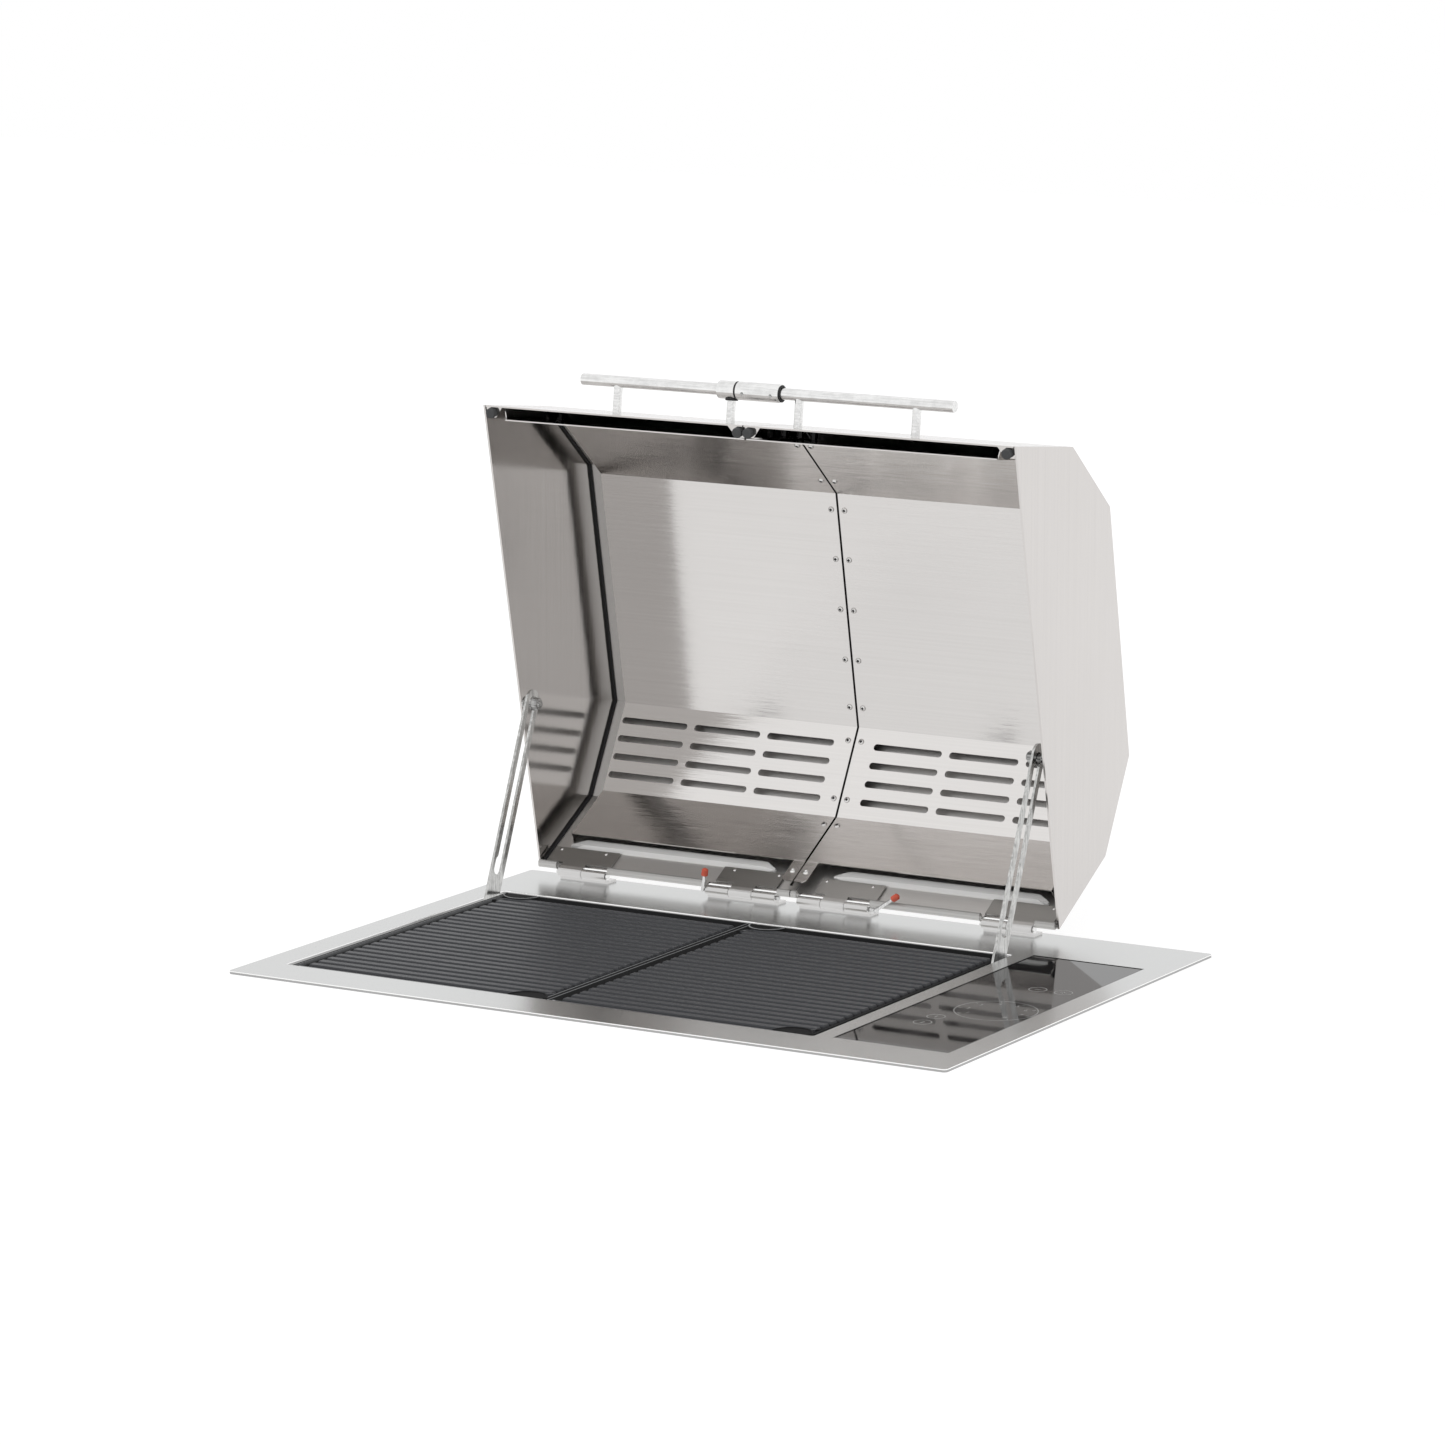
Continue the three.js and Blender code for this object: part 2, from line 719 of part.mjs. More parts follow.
const grateSolid = makeGrate();
const grateGeometry = toGeometry(grateSolid);
for (const [name, side] of [["grate_left", -1], ["grate_right", 1]]) {
  const mesh = new THREE.Mesh(grateGeometry, materials.grate);
  mesh.name = name;
  mesh.position.set(openingMiddle + side * zoneMiddle, (grateFront + grateBack) / 2, grateTop);
  part.add(mesh);
}

// Heating elements: one meander of tube in each zone, its ends through the firebox's back wall
class Meander extends THREE.CurvePath {
  constructor(front, back) {
    super();
    const first = (-(elementRuns - 1) * elementPitch) / 2;
    const radius = elementPitch / 2;
    for (let run = 0; run < elementRuns; run += 1) {
      const x = first + run * elementPitch;
      const forward = run % 2 === 0;
      const nearEnd = run === 0 || run === elementRuns - 1;
      const rear = nearEnd ? back : back - elementBackReach();
      const top = new THREE.Vector3(x, rear, 0);
      const last = new THREE.Vector3(x, front, 0);
      this.add(forward ? new THREE.LineCurve3(top, last) : new THREE.LineCurve3(last, top));
      if (run < elementRuns - 1) {
        const centreY = forward ? front : back - elementBackReach();
        this.add(new HalfTurn(x + radius, centreY, radius, forward));
      }
    }
  }
}
class HalfTurn extends THREE.Curve {
  constructor(x, y, radius, forward) {
    super();
    Object.assign(this, { x, y, radius, forward });
  }
  getPoint(t, target = new THREE.Vector3()) {
    const angle = this.forward ? Math.PI + t * Math.PI : Math.PI - t * Math.PI;
    return target.set(
      this.x + this.radius * Math.cos(angle),
      this.y + this.radius * Math.sin(angle),
      0,
    );
  }
}
function elementBackReach() {
  return fireboxWall + terminalGap() + elementFrontGap;
}
function terminalGap() {
  return fireboxBack - grateBack;
}
// The tube is swept as a list of straight rods and bends, joined end to end.
function makeElement() {
  const front = grateFront + elementFrontGap;
  const back = fireboxBack + fireboxWall;
  const path = new Meander(front, back);
  const rings = [];
  for (const curve of path.curves) {
    const steps = curve instanceof HalfTurn ? elementBendSteps : 1;
    for (let i = 0; i < steps; i += 1) {
      rings.push(curve.getPoint(i / steps));
    }
  }
  rings.push(path.curves.at(-1).getPoint(1));
  return sweep(rings, elementRadius, elementSides);
}
// Sweeps a polygon along flat points, square to the mean direction at each point.
function sweep(points, radius, sides) {
  const positions = [];
  const up = new THREE.Vector3(0, 0, 1);
  points.forEach((point, i) => {
    const before = points[Math.max(i - 1, 0)];
    const after = points[Math.min(i + 1, points.length - 1)];
    const side = new THREE.Vector3().crossVectors(after.clone().sub(before).normalize(), up);
    for (let k = 0; k < sides; k += 1) {
      const angle = (k / sides) * Math.PI * 2;
      const place = point
        .clone()
        .addScaledVector(side, radius * Math.cos(angle))
        .addScaledVector(up, radius * Math.sin(angle));
      positions.push(place.x, place.y, place.z);
    }
  });
  const index = [];
  for (let i = 0; i < points.length - 1; i += 1) {
    for (let k = 0; k < sides; k += 1) {
      const a = i * sides + k;
      const b = i * sides + ((k + 1) % sides);
      index.push(a, a + sides, b, b, a + sides, b + sides);
    }
  }
  const end = (points.length - 1) * sides;
  for (let k = 1; k < sides - 1; k += 1) {
    index.push(0, k, k + 1, end, end + k + 1, end + k);
  }
  const geometry = new THREE.BufferGeometry()
    .setAttribute("position", new THREE.Float32BufferAttribute(positions, 3))
    .setIndex(index);
  return toSolid(geometry);
}
const elementSolid = makeElement();
const elementHalfSpan = ((elementRuns - 1) * elementPitch) / 2;

const trayWidth = grateWidth - 2 * traySideGap;

// A bridge stands over each drip tray and carries the element in round notches.
function makeBridge() {
  const y = grateFront + bridgeFromFront;
  const legX = trayWidth / 2 + bridgeLegGap + bridgeLegWidth;
  const beamTop = elementZ;
  const beamBottom = elementZ - bridgeBeamHeight;
  const beam = box(-legX, legX, y, y + bridgeThickness, beamBottom, beamTop);
  const legs = [-1, 1].map((side) => {
    const inner = side * (legX - bridgeLegWidth);
    const outer = side * legX;
    const [x0, x1] = [Math.min(inner, outer), Math.max(inner, outer)];
    return join(
      box(x0, x1, y, y + bridgeThickness, fireboxFloor + seat, beamTop),
      box(x0, x1, y, y + bridgeFoot, fireboxFloor + seat, fireboxFloor + seat + bridgeThickness),
    );
  });
  const notches = [];
  for (let run = 0; run < elementRuns; run += 1) {
    notches.push(
      rodY(
        elementRadius + seat, y - overrun, y + bridgeThickness + overrun,
        run * elementPitch - elementHalfSpan, elementZ, smallSides,
      ),
    );
  }
  return cut(join(beam, ...legs), ...notches);
}
const bridgeSolid = makeBridge();

// A shallow tray with flared walls catches the fat in each zone.
function makeTray() {
  const y0 = grateFront + trayEndGap;
  const y1 = grateBack - trayEndGap;
  const flaredBox = (halfWidth, front, back, z0, z1, flare) => {
    const low = [
      [-halfWidth + flare, front + flare], [halfWidth - flare, front + flare],
      [halfWidth - flare, back - flare], [-halfWidth + flare, back - flare],
    ];
    const high = [
      [-halfWidth, front], [halfWidth, front], [halfWidth, back], [-halfWidth, back],
    ];
    const positions = [
      ...low.flatMap(([x, y]) => [x, y, z0]),
      ...high.flatMap(([x, y]) => [x, y, z1]),
    ];
    const sides = [0, 1, 2, 3].flatMap((i) => {
      const j = (i + 1) % 4;
      return [i, j, i + 4, j, j + 4, i + 4];
    });
    const geometry = new THREE.BufferGeometry()
      .setAttribute("position", new THREE.Float32BufferAttribute(positions, 3))
      .setIndex([0, 2, 1, 0, 3, 2, 4, 5, 6, 4, 6, 7, ...sides]);
    return toSolid(geometry);
  };
  const bottom = fireboxFloor + seat;
  const top = bottom + trayHeight;
  const slope = trayFlare / trayHeight;
  return cut(
    flaredBox(trayWidth / 2, y0, y1, bottom, top, trayFlare),
    flaredBox(
      trayWidth / 2 - trayWall + slope * overrun, y0 + trayWall - slope * overrun,
      y1 - trayWall + slope * overrun, bottom + trayWall, top + overrun,
      trayFlare + slope * (overrun - trayWall),
    ),
  );
}
const traySolid = makeTray();

// A ceramic block on the back of the firebox takes both ends of an element.
function makeTerminal(x) {
  const y0 = fireboxBack + fireboxWall + seat;
  return box(
    x - terminalWidth / 2, x + terminalWidth / 2,
    y0, y0 + terminalDepth,
    elementZ - terminalHeight / 2, elementZ + terminalHeight / 2,
  );
}
function makeTerminalBar() {
  const y0 = fireboxBack + fireboxWall + seat;
  const bar = box(
    terminalXs[0], terminalXs[1], y0, y0 + terminalDepth / 2,
    elementZ - terminalHeight / 4, elementZ + terminalHeight / 4,
  );
  return join(bar, ...terminalXs.map(makeTerminal));
}
const terminalSolid = makeTerminalBar();
for (const [label, side] of [["left", -1], ["right", 1]]) {
  const x = openingMiddle + side * zoneMiddle;
  addTo(part, "heating_element_" + label, elementSolid, materials.element).position.set(
    x, 0, elementZ,
  );
  addTo(part, "element_bridge_" + label, bridgeSolid, materials.galvanised).position.x = x;
  addTo(part, "terminal_block_" + label, terminalSolid, materials.ceramic).position.x = x;
  addTo(part, "drip_tray_" + label, traySolid, materials.tray).position.x = x;
}

// Control side: glass, housing, touch board, power board, junction box and gland
const glassTop = deckTop - glassRecess;
const glassBottom = glassTop - glassThickness;
function makeGlass() {
  return plateZ(
    rectangle(glassLeft, glassRight, glassFront, glassBack, glassCornerRadius),
    glassBottom, glassTop,
  );
}
addTo(part, "control_glass", makeGlass(), materials.glass);

const housingLeft = glassLeft - housingRim;
const housingRight = glassRight + housingRim;
const housingFront = glassFront - housingRim;
const housingBack = glassBack + housingRim;
const housingTop = deckBottom - seat;
const housingFloor = housingTop - housingDepth + housingWall;
const touchBoardTop = glassBottom - touchBoardDrop;
const powerBoardBottom = housingFloor + powerBoardHeight;
const glassCentreY = (glassFront + glassBack) / 2;
const touchBoardWidth = glassWidth - 2 * touchBoardSideGap;
const touchBoardDepth = glassDepth - 2 * touchBoardEndGap;
const powerBoardWidth = glassWidth - 2 * powerBoardSideGap;
const powerBoardDepth = glassDepth - 2 * powerBoardEndGap;
function boardPosts(width, depth, z1) {
  return [-1, 1].flatMap((sx) =>
    [-1, 1].map((sy) => {
      const x = glassMiddle + sx * (width / 2 - boardPostInset);
      const y = glassCentreY + sy * (depth / 2 - boardPostInset);
      const half = boardPostSize / 2;
      return box(x - half, x + half, y - half, y + half, housingFloor - bite, z1);
    }),
  );
}
function makeHousing() {
  const ledgeZ = glassBottom - seat;
  const body = cut(
    box(
      housingLeft, housingRight, housingFront, housingBack, housingFloor - housingWall, housingTop,
    ),
    box(
      glassLeft - glassGap, glassRight + glassGap, glassFront - glassGap, glassBack + glassGap,
      ledgeZ, housingTop + overrun,
    ),
    box(
      glassLeft + housingLedge, glassRight - housingLedge,
      glassFront + housingLedge, glassBack - housingLedge,
      housingFloor, housingTop,
    ),
  );
  return join(
    body,
    ...boardPosts(touchBoardWidth, touchBoardDepth, touchBoardTop - touchBoardThickness - seat),
    ...boardPosts(powerBoardWidth, powerBoardDepth, powerBoardBottom - seat),
  );
}
addTo(part, "control_housing", makeHousing(), materials.housing);

function makeTouchBoard() {
  const board = box(
    glassMiddle - touchBoardWidth / 2, glassMiddle + touchBoardWidth / 2,
    glassCentreY - touchBoardDepth / 2, glassCentreY + touchBoardDepth / 2,
    touchBoardTop - touchBoardThickness, touchBoardTop,
  );
  const pads = [];
  for (let i = 0; i < keyCount; i += 1) {
    const y = glassCentreY + ((i + 1 / 2) / keyCount - 1 / 2) * touchBoardDepth;
    pads.push(rodZ(keySize, touchBoardTop - bite, glassBottom - seat, glassMiddle, y));
  }
  return join(board, ...pads);
}
addTo(part, "touch_board", makeTouchBoard(), materials.board);

function makePowerBoard() {
  const top = powerBoardBottom + powerBoardThickness;
  const board = box(
    glassMiddle - powerBoardWidth / 2 + boardPostInset + boardPostSize,
    glassMiddle + powerBoardWidth / 2 - boardPostInset - boardPostSize,
    glassCentreY - powerBoardDepth / 2, glassCentreY + powerBoardDepth / 2,
    powerBoardBottom, top,
  );
  const across = [-1, 1].map((side) => {
    const y = glassCentreY + side * (powerBoardDepth / 2 - boardPostInset);
    return box(
      glassMiddle - powerBoardWidth / 2, glassMiddle + powerBoardWidth / 2,
      y - boardPostInset, y + boardPostInset, powerBoardBottom, top,
    );
  });
  const relays = [];
  for (let i = 0; i < relayCount; i += 1) {
    const y = glassCentreY + ((i + 1 / 2) / relayCount - 1 / 2) * powerBoardDepth;
    relays.push(
      box(
        glassMiddle - relaySize / 2, glassMiddle + relaySize / 2,
        y - relaySize / 2, y + relaySize / 2, top - bite, top + relaySize / 2,
      ),
    );
  }
  return join(board, ...across, ...relays);
}
addTo(part, "power_board", makePowerBoard(), materials.board);

const junctionBack = panBack - panWall - seat;
function makeJunctionBox() {
  const x0 = glandX - junctionWidth / 2;
  const x1 = x0 + junctionWidth;
  const y0 = junctionBack - junctionDepth;
  const z0 = panWall + seat;
  const z1 = z0 + junctionHeight;
  return cut(
    box(x0, x1, y0, junctionBack, z0, z1),
    box(
      x0 + junctionWall, x1 - junctionWall, y0 + junctionWall, junctionBack - junctionWall,
      z0 + junctionWall, z1 + overrun,
    ),
    rodY(
      glandThreadRadius + seat, junctionBack - junctionWall - overrun, junctionBack + overrun,
      glandX, glandZ,
    ),
  );
}
addTo(part, "junction_box", makeJunctionBox(), materials.galvanised);

// The gland is turned about its own axis: dome, flange, thread and lock nut.
function makeGland() {
  const inside = junctionBack - junctionWall - seat;
  const outside = panBack + seat;
  const profile = [
    [glandBore, inside - glandNutLength],
    [glandRadius, inside - glandNutLength],
    [glandRadius, inside],
    [glandThreadRadius, inside],
    [glandThreadRadius, outside],
    [glandRadius + glandFlangeThickness, outside],
    [glandRadius + glandFlangeThickness, outside + glandFlangeThickness],
    [glandRadius, outside + glandFlangeThickness],
    [glandThreadRadius, outside + glandDomeLength],
    [glandBore, outside + glandDomeLength],
    [glandBore, inside - glandNutLength],
  ].map(([radius, y]) => new THREE.Vector2(radius, y));
  const geometry = new THREE.LatheGeometry(profile, fineSides);
  return toSolid(geometry.translate(glandX, 0, glandZ));
}
addTo(part, "cable_gland", makeGland(), materials.gland);

// Lid profile, closed, from the back lip over the top to the front lip
const lidBackPoint = new THREE.Vector2(-lidBackGap, lidBackLip);
const lidFrontPoint = new THREE.Vector2(-lidReach, lidFrontLip);
const lidProfile = [
  lidBackPoint,
  new THREE.Vector2(-lidBackGap - shoulderInset, shoulderHeight),
  new THREE.Vector2(-lidBackGap - topInset, lidTopHeight),
  new THREE.Vector2(-lidReach + topInset, lidTopHeight),
  new THREE.Vector2(-lidReach + shoulderInset, shoulderHeight),
  lidFrontPoint,
];
// The same line moved inwards by a distance and trimmed to two lip heights.
function innerProfile(distance, backLip, frontLip) {
  const line = offsetLine(lidProfile, distance);
  const last = line.length - 1;
  line[0] = atHeight(line[1], line[0], backLip);
  line[last] = atHeight(line[last - 1], line[last], frontLip);
  return line;
}

// Outer skin of one half, drawn on the right: bent sheet, corner gussets, hem and bead
function backWallStrip(height0, height1, inner, outer, x0, x1) {
  const low = atHeight(lidProfile[1], lidProfile[0], height0);
  const high = atHeight(lidProfile[1], lidProfile[0], height1);
  return plateX(sheetOutline([low, high], inner, outer), x0, x1);
}
function makeBead() {
  const section = (height) => {
    const line = [beadLow, beadLow + height].map((z) =>
      atHeight(lidProfile[1], lidProfile[0], z),
    );
    const [a, d] = offsetLine(line, shellSheet - bite);
    const [b, c] = offsetLine(line, shellSheet + beadRise).map((point, i, both) =>
      point.clone().lerp(both[1 - i], 1 / 4),
    );
    return [a, d, c, b];
  };
  const whole = section(beadHeight);
  const end = section(beadEndHeight);
  const x0 = beadInnerEnd;
  const x1 = linerEnd - beadEndInset;
  return join(
    loftX(end, whole, x0, x0 + beadEndSlope),
    plateX(new THREE.Shape(whole), x0 + beadEndSlope, x1 - beadEndSlope),
    loftX(whole, end, x1 - beadEndSlope, x1),
  );
}
function makeGusset(x0, x1, taper) {
  const skin = -lidReach + shellSheet - bite;
  const inner = -lidReach + linerGap - seat;
  const z0 = lidFrontLip + gussetRise;
  const shape = outline([
    [x0, skin],
    [x1, skin],
    [taper < 0 ? x1 : x1 - gussetTaper, inner],
    [taper < 0 ? x0 + gussetTaper : x0, inner],
  ]);
  return plateZ(shape, z0, z0 + gussetThickness);
}
// Posts between the skin and the liner, square to each flat panel
function makeSpacers(x, reach) {
  return spacerShares.map(([panel, share]) => {
    const [from, to] = [lidProfile[panel], lidProfile[panel + 1]];
    const along = to.clone().sub(from).normalize();
    const inward = new THREE.Vector2(-along.y, along.x);
    const foot = from.clone().lerp(to, share);
    const start = foot.clone().addScaledVector(inward, shellSheet - bite);
    const end = foot.clone().addScaledVector(inward, reach);
    return rodBetween(
      new THREE.Vector3(x, start.x, start.y),
      new THREE.Vector3(x, end.x, end.y),
      spacerRadius,
      spacerSides,
    );
  });
}
// The rolled edge: a rounded bar under the skin's back lip, held by a sloping web
const hemCentres = [0, 1].map((i) => new THREE.Vector2(-hemForward[i], hemRise[i]));
function makeHem(x0, x1) {
  const across = hemCentres[1].clone().sub(hemCentres[0]).normalize();
  const side = new THREE.Vector2(-across.y, across.x).multiplyScalar(hemRadius);
  const core = new THREE.Shape([
    hemCentres[0].clone().add(side),
    hemCentres[1].clone().add(side),
    hemCentres[1].clone().sub(side),
    hemCentres[0].clone().sub(side),
  ]);
  const lip = lidBackPoint.clone().lerp(lidProfile[1], hemShare);
  const inside = lip.clone().addScaledVector(new THREE.Vector2(-1, 0), shellSheet);
  const web = new THREE.Shape([lip, inside, hemCentres[1], hemCentres[0]]);
  return join(
    plateX(core, x0, x1),
    plateX(web, x0, x1),
    rodX(hemRadius, x0, x1, hemCentres[0].x, hemCentres[0].y, smallSides),
    rodX(hemRadius, x0, x1, hemCentres[1].x, hemCentres[1].y, smallSides),
  );
}
function makeShell(innerHinge) {
  const sheet = plateX(sheetOutline(lidProfile, 0, shellSheet), seamGap / 4, shellEnd);
  const notches = [
    [innerHinge.start, innerHinge.end],
    [outerHinge.baseStart, outerHinge.end],
  ].map(([x0, x1]) =>
    box(
      x0 - hingeNotchGap, x1 + hingeNotchGap,
      -knuckleRadius - hingeNotchTop, knuckleRadius + hingeNotchTop,
      -knuckleRadius - hingeNotchTop, hingeNotchTop,
    ),
  );
  const hems = [
    [seamGap / 4, innerHinge.start - hingeNotchGap - seat],
    [innerHinge.end + hingeNotchGap + seat, outerHinge.baseStart - hingeNotchGap - hemClearance],
    [outerHinge.end + hingeNotchGap + hemClearance, shellEnd],
  ];
  return cut(
    join(
      sheet,
      ...hems.map(([x0, x1]) => makeHem(x0, x1)),
      makeBead(),
      makeGusset(seamGap / 4, gussetWidth, 1),
      makeGusset(shellEnd - gussetWidth, shellEnd, -1),
      ...makeSpacers(spacerFromSeam, linerGap - seat),
      ...makeSpacers(linerEnd - spacerFromEnd, linerGap - seat),
      ...makeSpacers(seamSpacer, linerGap - linerSheet - 2 * seat),
    ),
    ...notches,
  );
}
addTo(lid, "lid_skin_right", makeShell(innerHingeOf("right")), materials.stainless);
addTo(lid, "lid_skin_left", mirrored(makeShell(innerHingeOf("left"))), materials.stainless);

// Side panels close the lid's two ends.
const panelSolid = plateX(new THREE.Shape(lidProfile), lidHalf - sidePanelThickness, lidHalf);
addTo(lid, "lid_side_right", panelSolid, materials.stainless);
addTo(lid, "lid_side_left", mirrored(panelSolid), materials.stainless);

// Liner of one half, with a folded outer edge and the field of vent slots in the back chamfer
function slotField() {
  const line = offsetLine(lidProfile, linerGap);
  const start = line[2];
  const along = line[1].clone().sub(start).normalize();
  const angle = Math.atan2(along.y, along.x);
  const slotPitch = (linerEnd - slotFieldInset - slotInnerEnd + slotSpacing) / slotColumns;
  const slotLength = slotPitch - slotSpacing;
  const tools = [];
  for (let row = 0; row < slotRows; row += 1) {
    const centre = start.clone().addScaledVector(along, slotFirstRow + row * slotPitchRow);
    for (let column = 0; column < slotColumns; column += 1) {
      const x0 = slotInnerEnd + column * slotPitch;
      const end = slotHeight / 2;
      const slot = new THREE.Shape();
      slot.absarc(x0 + end, 0, end, Math.PI / 2, (3 * Math.PI) / 2);
      slot.absarc(x0 + slotLength - end, 0, end, -Math.PI / 2, Math.PI / 2);
      const depth = 2 * (linerSheet + overrun);
      const options = { depth, bevelEnabled: false, curveSegments: slotSides };
      const geometry = new THREE.ExtrudeGeometry(slot, options).translate(0, 0, -depth / 2);
      geometry.rotateX(angle).translate(0, centre.x, centre.y);
      tools.push(toSolid(geometry));
    }
  }
  return tools;
}
function makeLinerFlange() {
  const line = innerProfile(linerGap, linerBackLip, linerFlangeLow);
  const foot = shellSheet + seat - linerGap;
  const section = (rise) => [...offsetLine(line, foot), ...offsetLine(line, rise).reverse()];
  const slope = loftX(
    section(linerSheet), section(foot + linerSheet), linerEnd, linerEnd + linerFlangeRun,
  );
  return cut(slope, slope.translate(-linerSheet, 0, 0));
}
function makeLiner() {
  const line = innerProfile(linerGap, linerBackLip, linerFrontLip);
  const sheet = plateX(sheetOutline(line, 0, linerSheet), seamGap / 2, linerEnd);
  return cut(join(sheet, makeLinerFlange()), ...slotField());
}
const linerSolid = makeLiner();
addTo(lid, "lid_liner_right", linerSolid, materials.stainless);
addTo(lid, "lid_liner_left", mirrored(linerSolid), materials.stainless);

// Seam strip behind the two liners, with a tapered tab down to the hinge line
function makeSeamStrip() {
  const outer = linerGap - seat - linerSheet;
  const line = innerProfile(outer, linerBackLip, seamFrontLip);
  const band = plateX(sheetOutline(line, 0, linerSheet), -seamStripWidth / 2, seamStripWidth / 2);
  const full = offsetLine(lidProfile, outer);
  const low = atHeight(full[1], full[0], seamTabEnd);
  const tab = plateX(
    sheetOutline([low, line[0].clone().lerp(line[1], 1 / 8)], 0, linerSheet),
    -seamStripWidth / 2, seamStripWidth / 2,
  );
  const trims = [-1, 1].map((side) => {
    const shape = new THREE.Shape()
      .moveTo((side * seamTabTip) / 2, seamTabEnd - overrun)
      .lineTo(side * seamStripWidth, seamTabEnd - overrun)
      .lineTo(side * seamStripWidth, linerBackLip)
      .lineTo((side * seamStripWidth) / 2, linerBackLip)
      .quadraticCurveTo(
        (side * seamStripWidth) / 4, (linerBackLip + seamTabTaper) / 2,
        (side * seamTabTip) / 2, seamTabTaper,
      )
      .closePath();
    const depth = lidReach / 2;
    const geometry = new THREE.ExtrudeGeometry(shape, { depth, bevelEnabled: false });
    return toSolid(geometry.rotateX(Math.PI / 2).translate(0, overrun, 0));
  });
  return cut(join(band, tab), ...trims);
}
addTo(lid, "seam_strip", makeSeamStrip(), materials.stainless);

// Rubber bumpers under the gussets
function makeBumper() {
  const top = lidFrontLip + gussetRise - seat;
  const profile = [
    [0, top - bumperHeight],
    [bumperRadius - bumperEdge, top - bumperHeight],
    [bumperRadius, top - bumperHeight + bumperEdge],
    [bumperRadius, top],
    [0, top],
  ].map(([radius, z]) => new THREE.Vector2(radius, z));
  return toSolid(new THREE.LatheGeometry(profile, roundSides).rotateX(Math.PI / 2));
}
const bumperSolid = makeBumper();
const bumperY = -lidReach + (shellSheet + linerGap) / 2;
const bumperPlaces = {
  bumper_outer_left: -lidHalf + bumperOuterInset,
  bumper_inner_left: -bumperInnerInset,
  bumper_inner_right: bumperInnerInset,
  bumper_outer_right: lidHalf - bumperOuterInset,
};
for (const [name, x] of Object.entries(bumperPlaces)) {
  addTo(lid, name, bumperSolid, materials.rubber).position.set(x, bumperY, 0);
}

// Handle: two tubes on posts, joined at the middle by a sleeve and a collar
const faceDirection = lidProfile[4].clone().sub(lidFrontPoint).normalize();
const faceNormal = new THREE.Vector2(-faceDirection.y, faceDirection.x);
const handleHalfLength = lidHalf - handleEndInset;
const handleOuterPost = handleHalfLength - handleOuterPostInset;
const handleFoot = lidFrontPoint.clone().addScaledVector(faceDirection, handleFromLip);
const handleAxis = handleFoot.clone().addScaledVector(faceNormal, handleOffset);
const postStart = handleFoot.clone().addScaledVector(faceNormal, seat);
function makePost(x, radius) {
  return rodBetween(
    new THREE.Vector3(x, postStart.x, postStart.y),
    new THREE.Vector3(x, handleAxis.x, handleAxis.y),
    radius,
    roundSides,
  );
}
function makeHandleBar() {
  return join(
    rodX(handleTubeRadius, handleTubeGap, handleHalfLength, handleAxis.x, handleAxis.y, fineSides),
    makePost(handleInnerPost, handlePostRadius),
    makePost(handleOuterPost, handlePostRadius),
  );
}
const handleSolid = makeHandleBar();
addTo(lid, "handle_bar_right", handleSolid, materials.polished);
addTo(lid, "handle_bar_left", mirrored(handleSolid), materials.polished);

function ring(outer, bore, x0, x1) {
  return cut(
    rodX(outer, x0, x1, handleAxis.x, handleAxis.y, fineSides),
    rodX(bore, x0 - overrun, x1 + overrun, handleAxis.x, handleAxis.y, fineSides),
  );
}
function makeSleeve() {
  const holes = setScrewPlaces.map((x) =>
    rodBetween(
      new THREE.Vector3(x, handleAxis.x, handleAxis.y),
      new THREE.Vector3(x, handleAxis.x, handleAxis.y - sleeveRadius - overrun),
      setScrewHoleRadius,
    ),
  );
  return cut(ring(sleeveRadius, sleeveBore, sleeveLeftEnd, sleeveRightEnd), ...holes);
}
addTo(lid, "handle_sleeve", makeSleeve(), materials.polished);

function makeCollar() {
  const right = sleeveLeftEnd - seat;
  return cut(
    ring(collarRadius, sleeveBore, right - collarLength, right),
    makePost(-handleInnerPost, handlePostRadius + collarPostClearance),
  );
}
addTo(lid, "handle_collar", makeCollar(), materials.polished);

// Hinges: a base leaf on the deck and a lid leaf on the back wall, for each of four hinges
function knuckle(x0, x1) {
  return rodX(knuckleRadius, x0 + knuckleGap / 2, x1 - knuckleGap / 2, 0, 0);
}
function bore(x0, x1) {
  return rodX(knuckleBore, x0 - overrun, x1 + overrun, 0, 0);
}
function makeBaseLeaf(knuckles, x0, x1) {
  const foot = -hingeHeight + seat;
  const webs = knuckles.map(([start, end]) =>
    box(
      start + knuckleGap / 2, end - knuckleGap / 2,
      baseWebFront, knuckleRadius, foot, 0,
    ),
  );
  const plate = box(x0, x1, baseWebFront, baseLeafReach, foot, foot + leafThickness);
  return cut(
    join(plate, ...webs, ...knuckles.map(([start, end]) => knuckle(start, end))),
    bore(x0, x1),
  );
}
function makeLidLeaf(leaf, start, end) {
  const inner = shellSheet + seat;
  const outer = inner + leafThickness;
  const plate = backWallStrip(lidLeafBottom, lidLeafTop, inner, outer, leaf.start, leaf.end);
  const tongue = backWallStrip(
    tongueBottom, lidLeafBottom + bite, inner, outer, start + tongueGap, end - tongueGap,
  );
  return cut(join(plate, tongue, knuckle(start, end)), bore(start, end));
}
function makePin(x0, x1) {
  return join(
    rodX(hingePinRadius, x0 - seat - bite, x1 + seat + bite, 0, 0, smallSides),
    rodX(pinHeadRadius, x0 - seat - pinHeadLength, x0 - seat, 0, 0, smallSides),
    rodX(pinHeadRadius, x1 + seat, x1 + seat + pinHeadLength, 0, 0, smallSides),
  );
}
const hingeBase = new THREE.Group();
hingeBase.position.set(openingMiddle, hingeY, hingeZ);
part.add(hingeBase);
function makeInnerBaseLeaf(hinge) {
  const knuckles = [[hinge.start, hinge.lidStart], [hinge.lidEnd, hinge.end]];
  return makeBaseLeaf(knuckles, hinge.start, hinge.end);
}
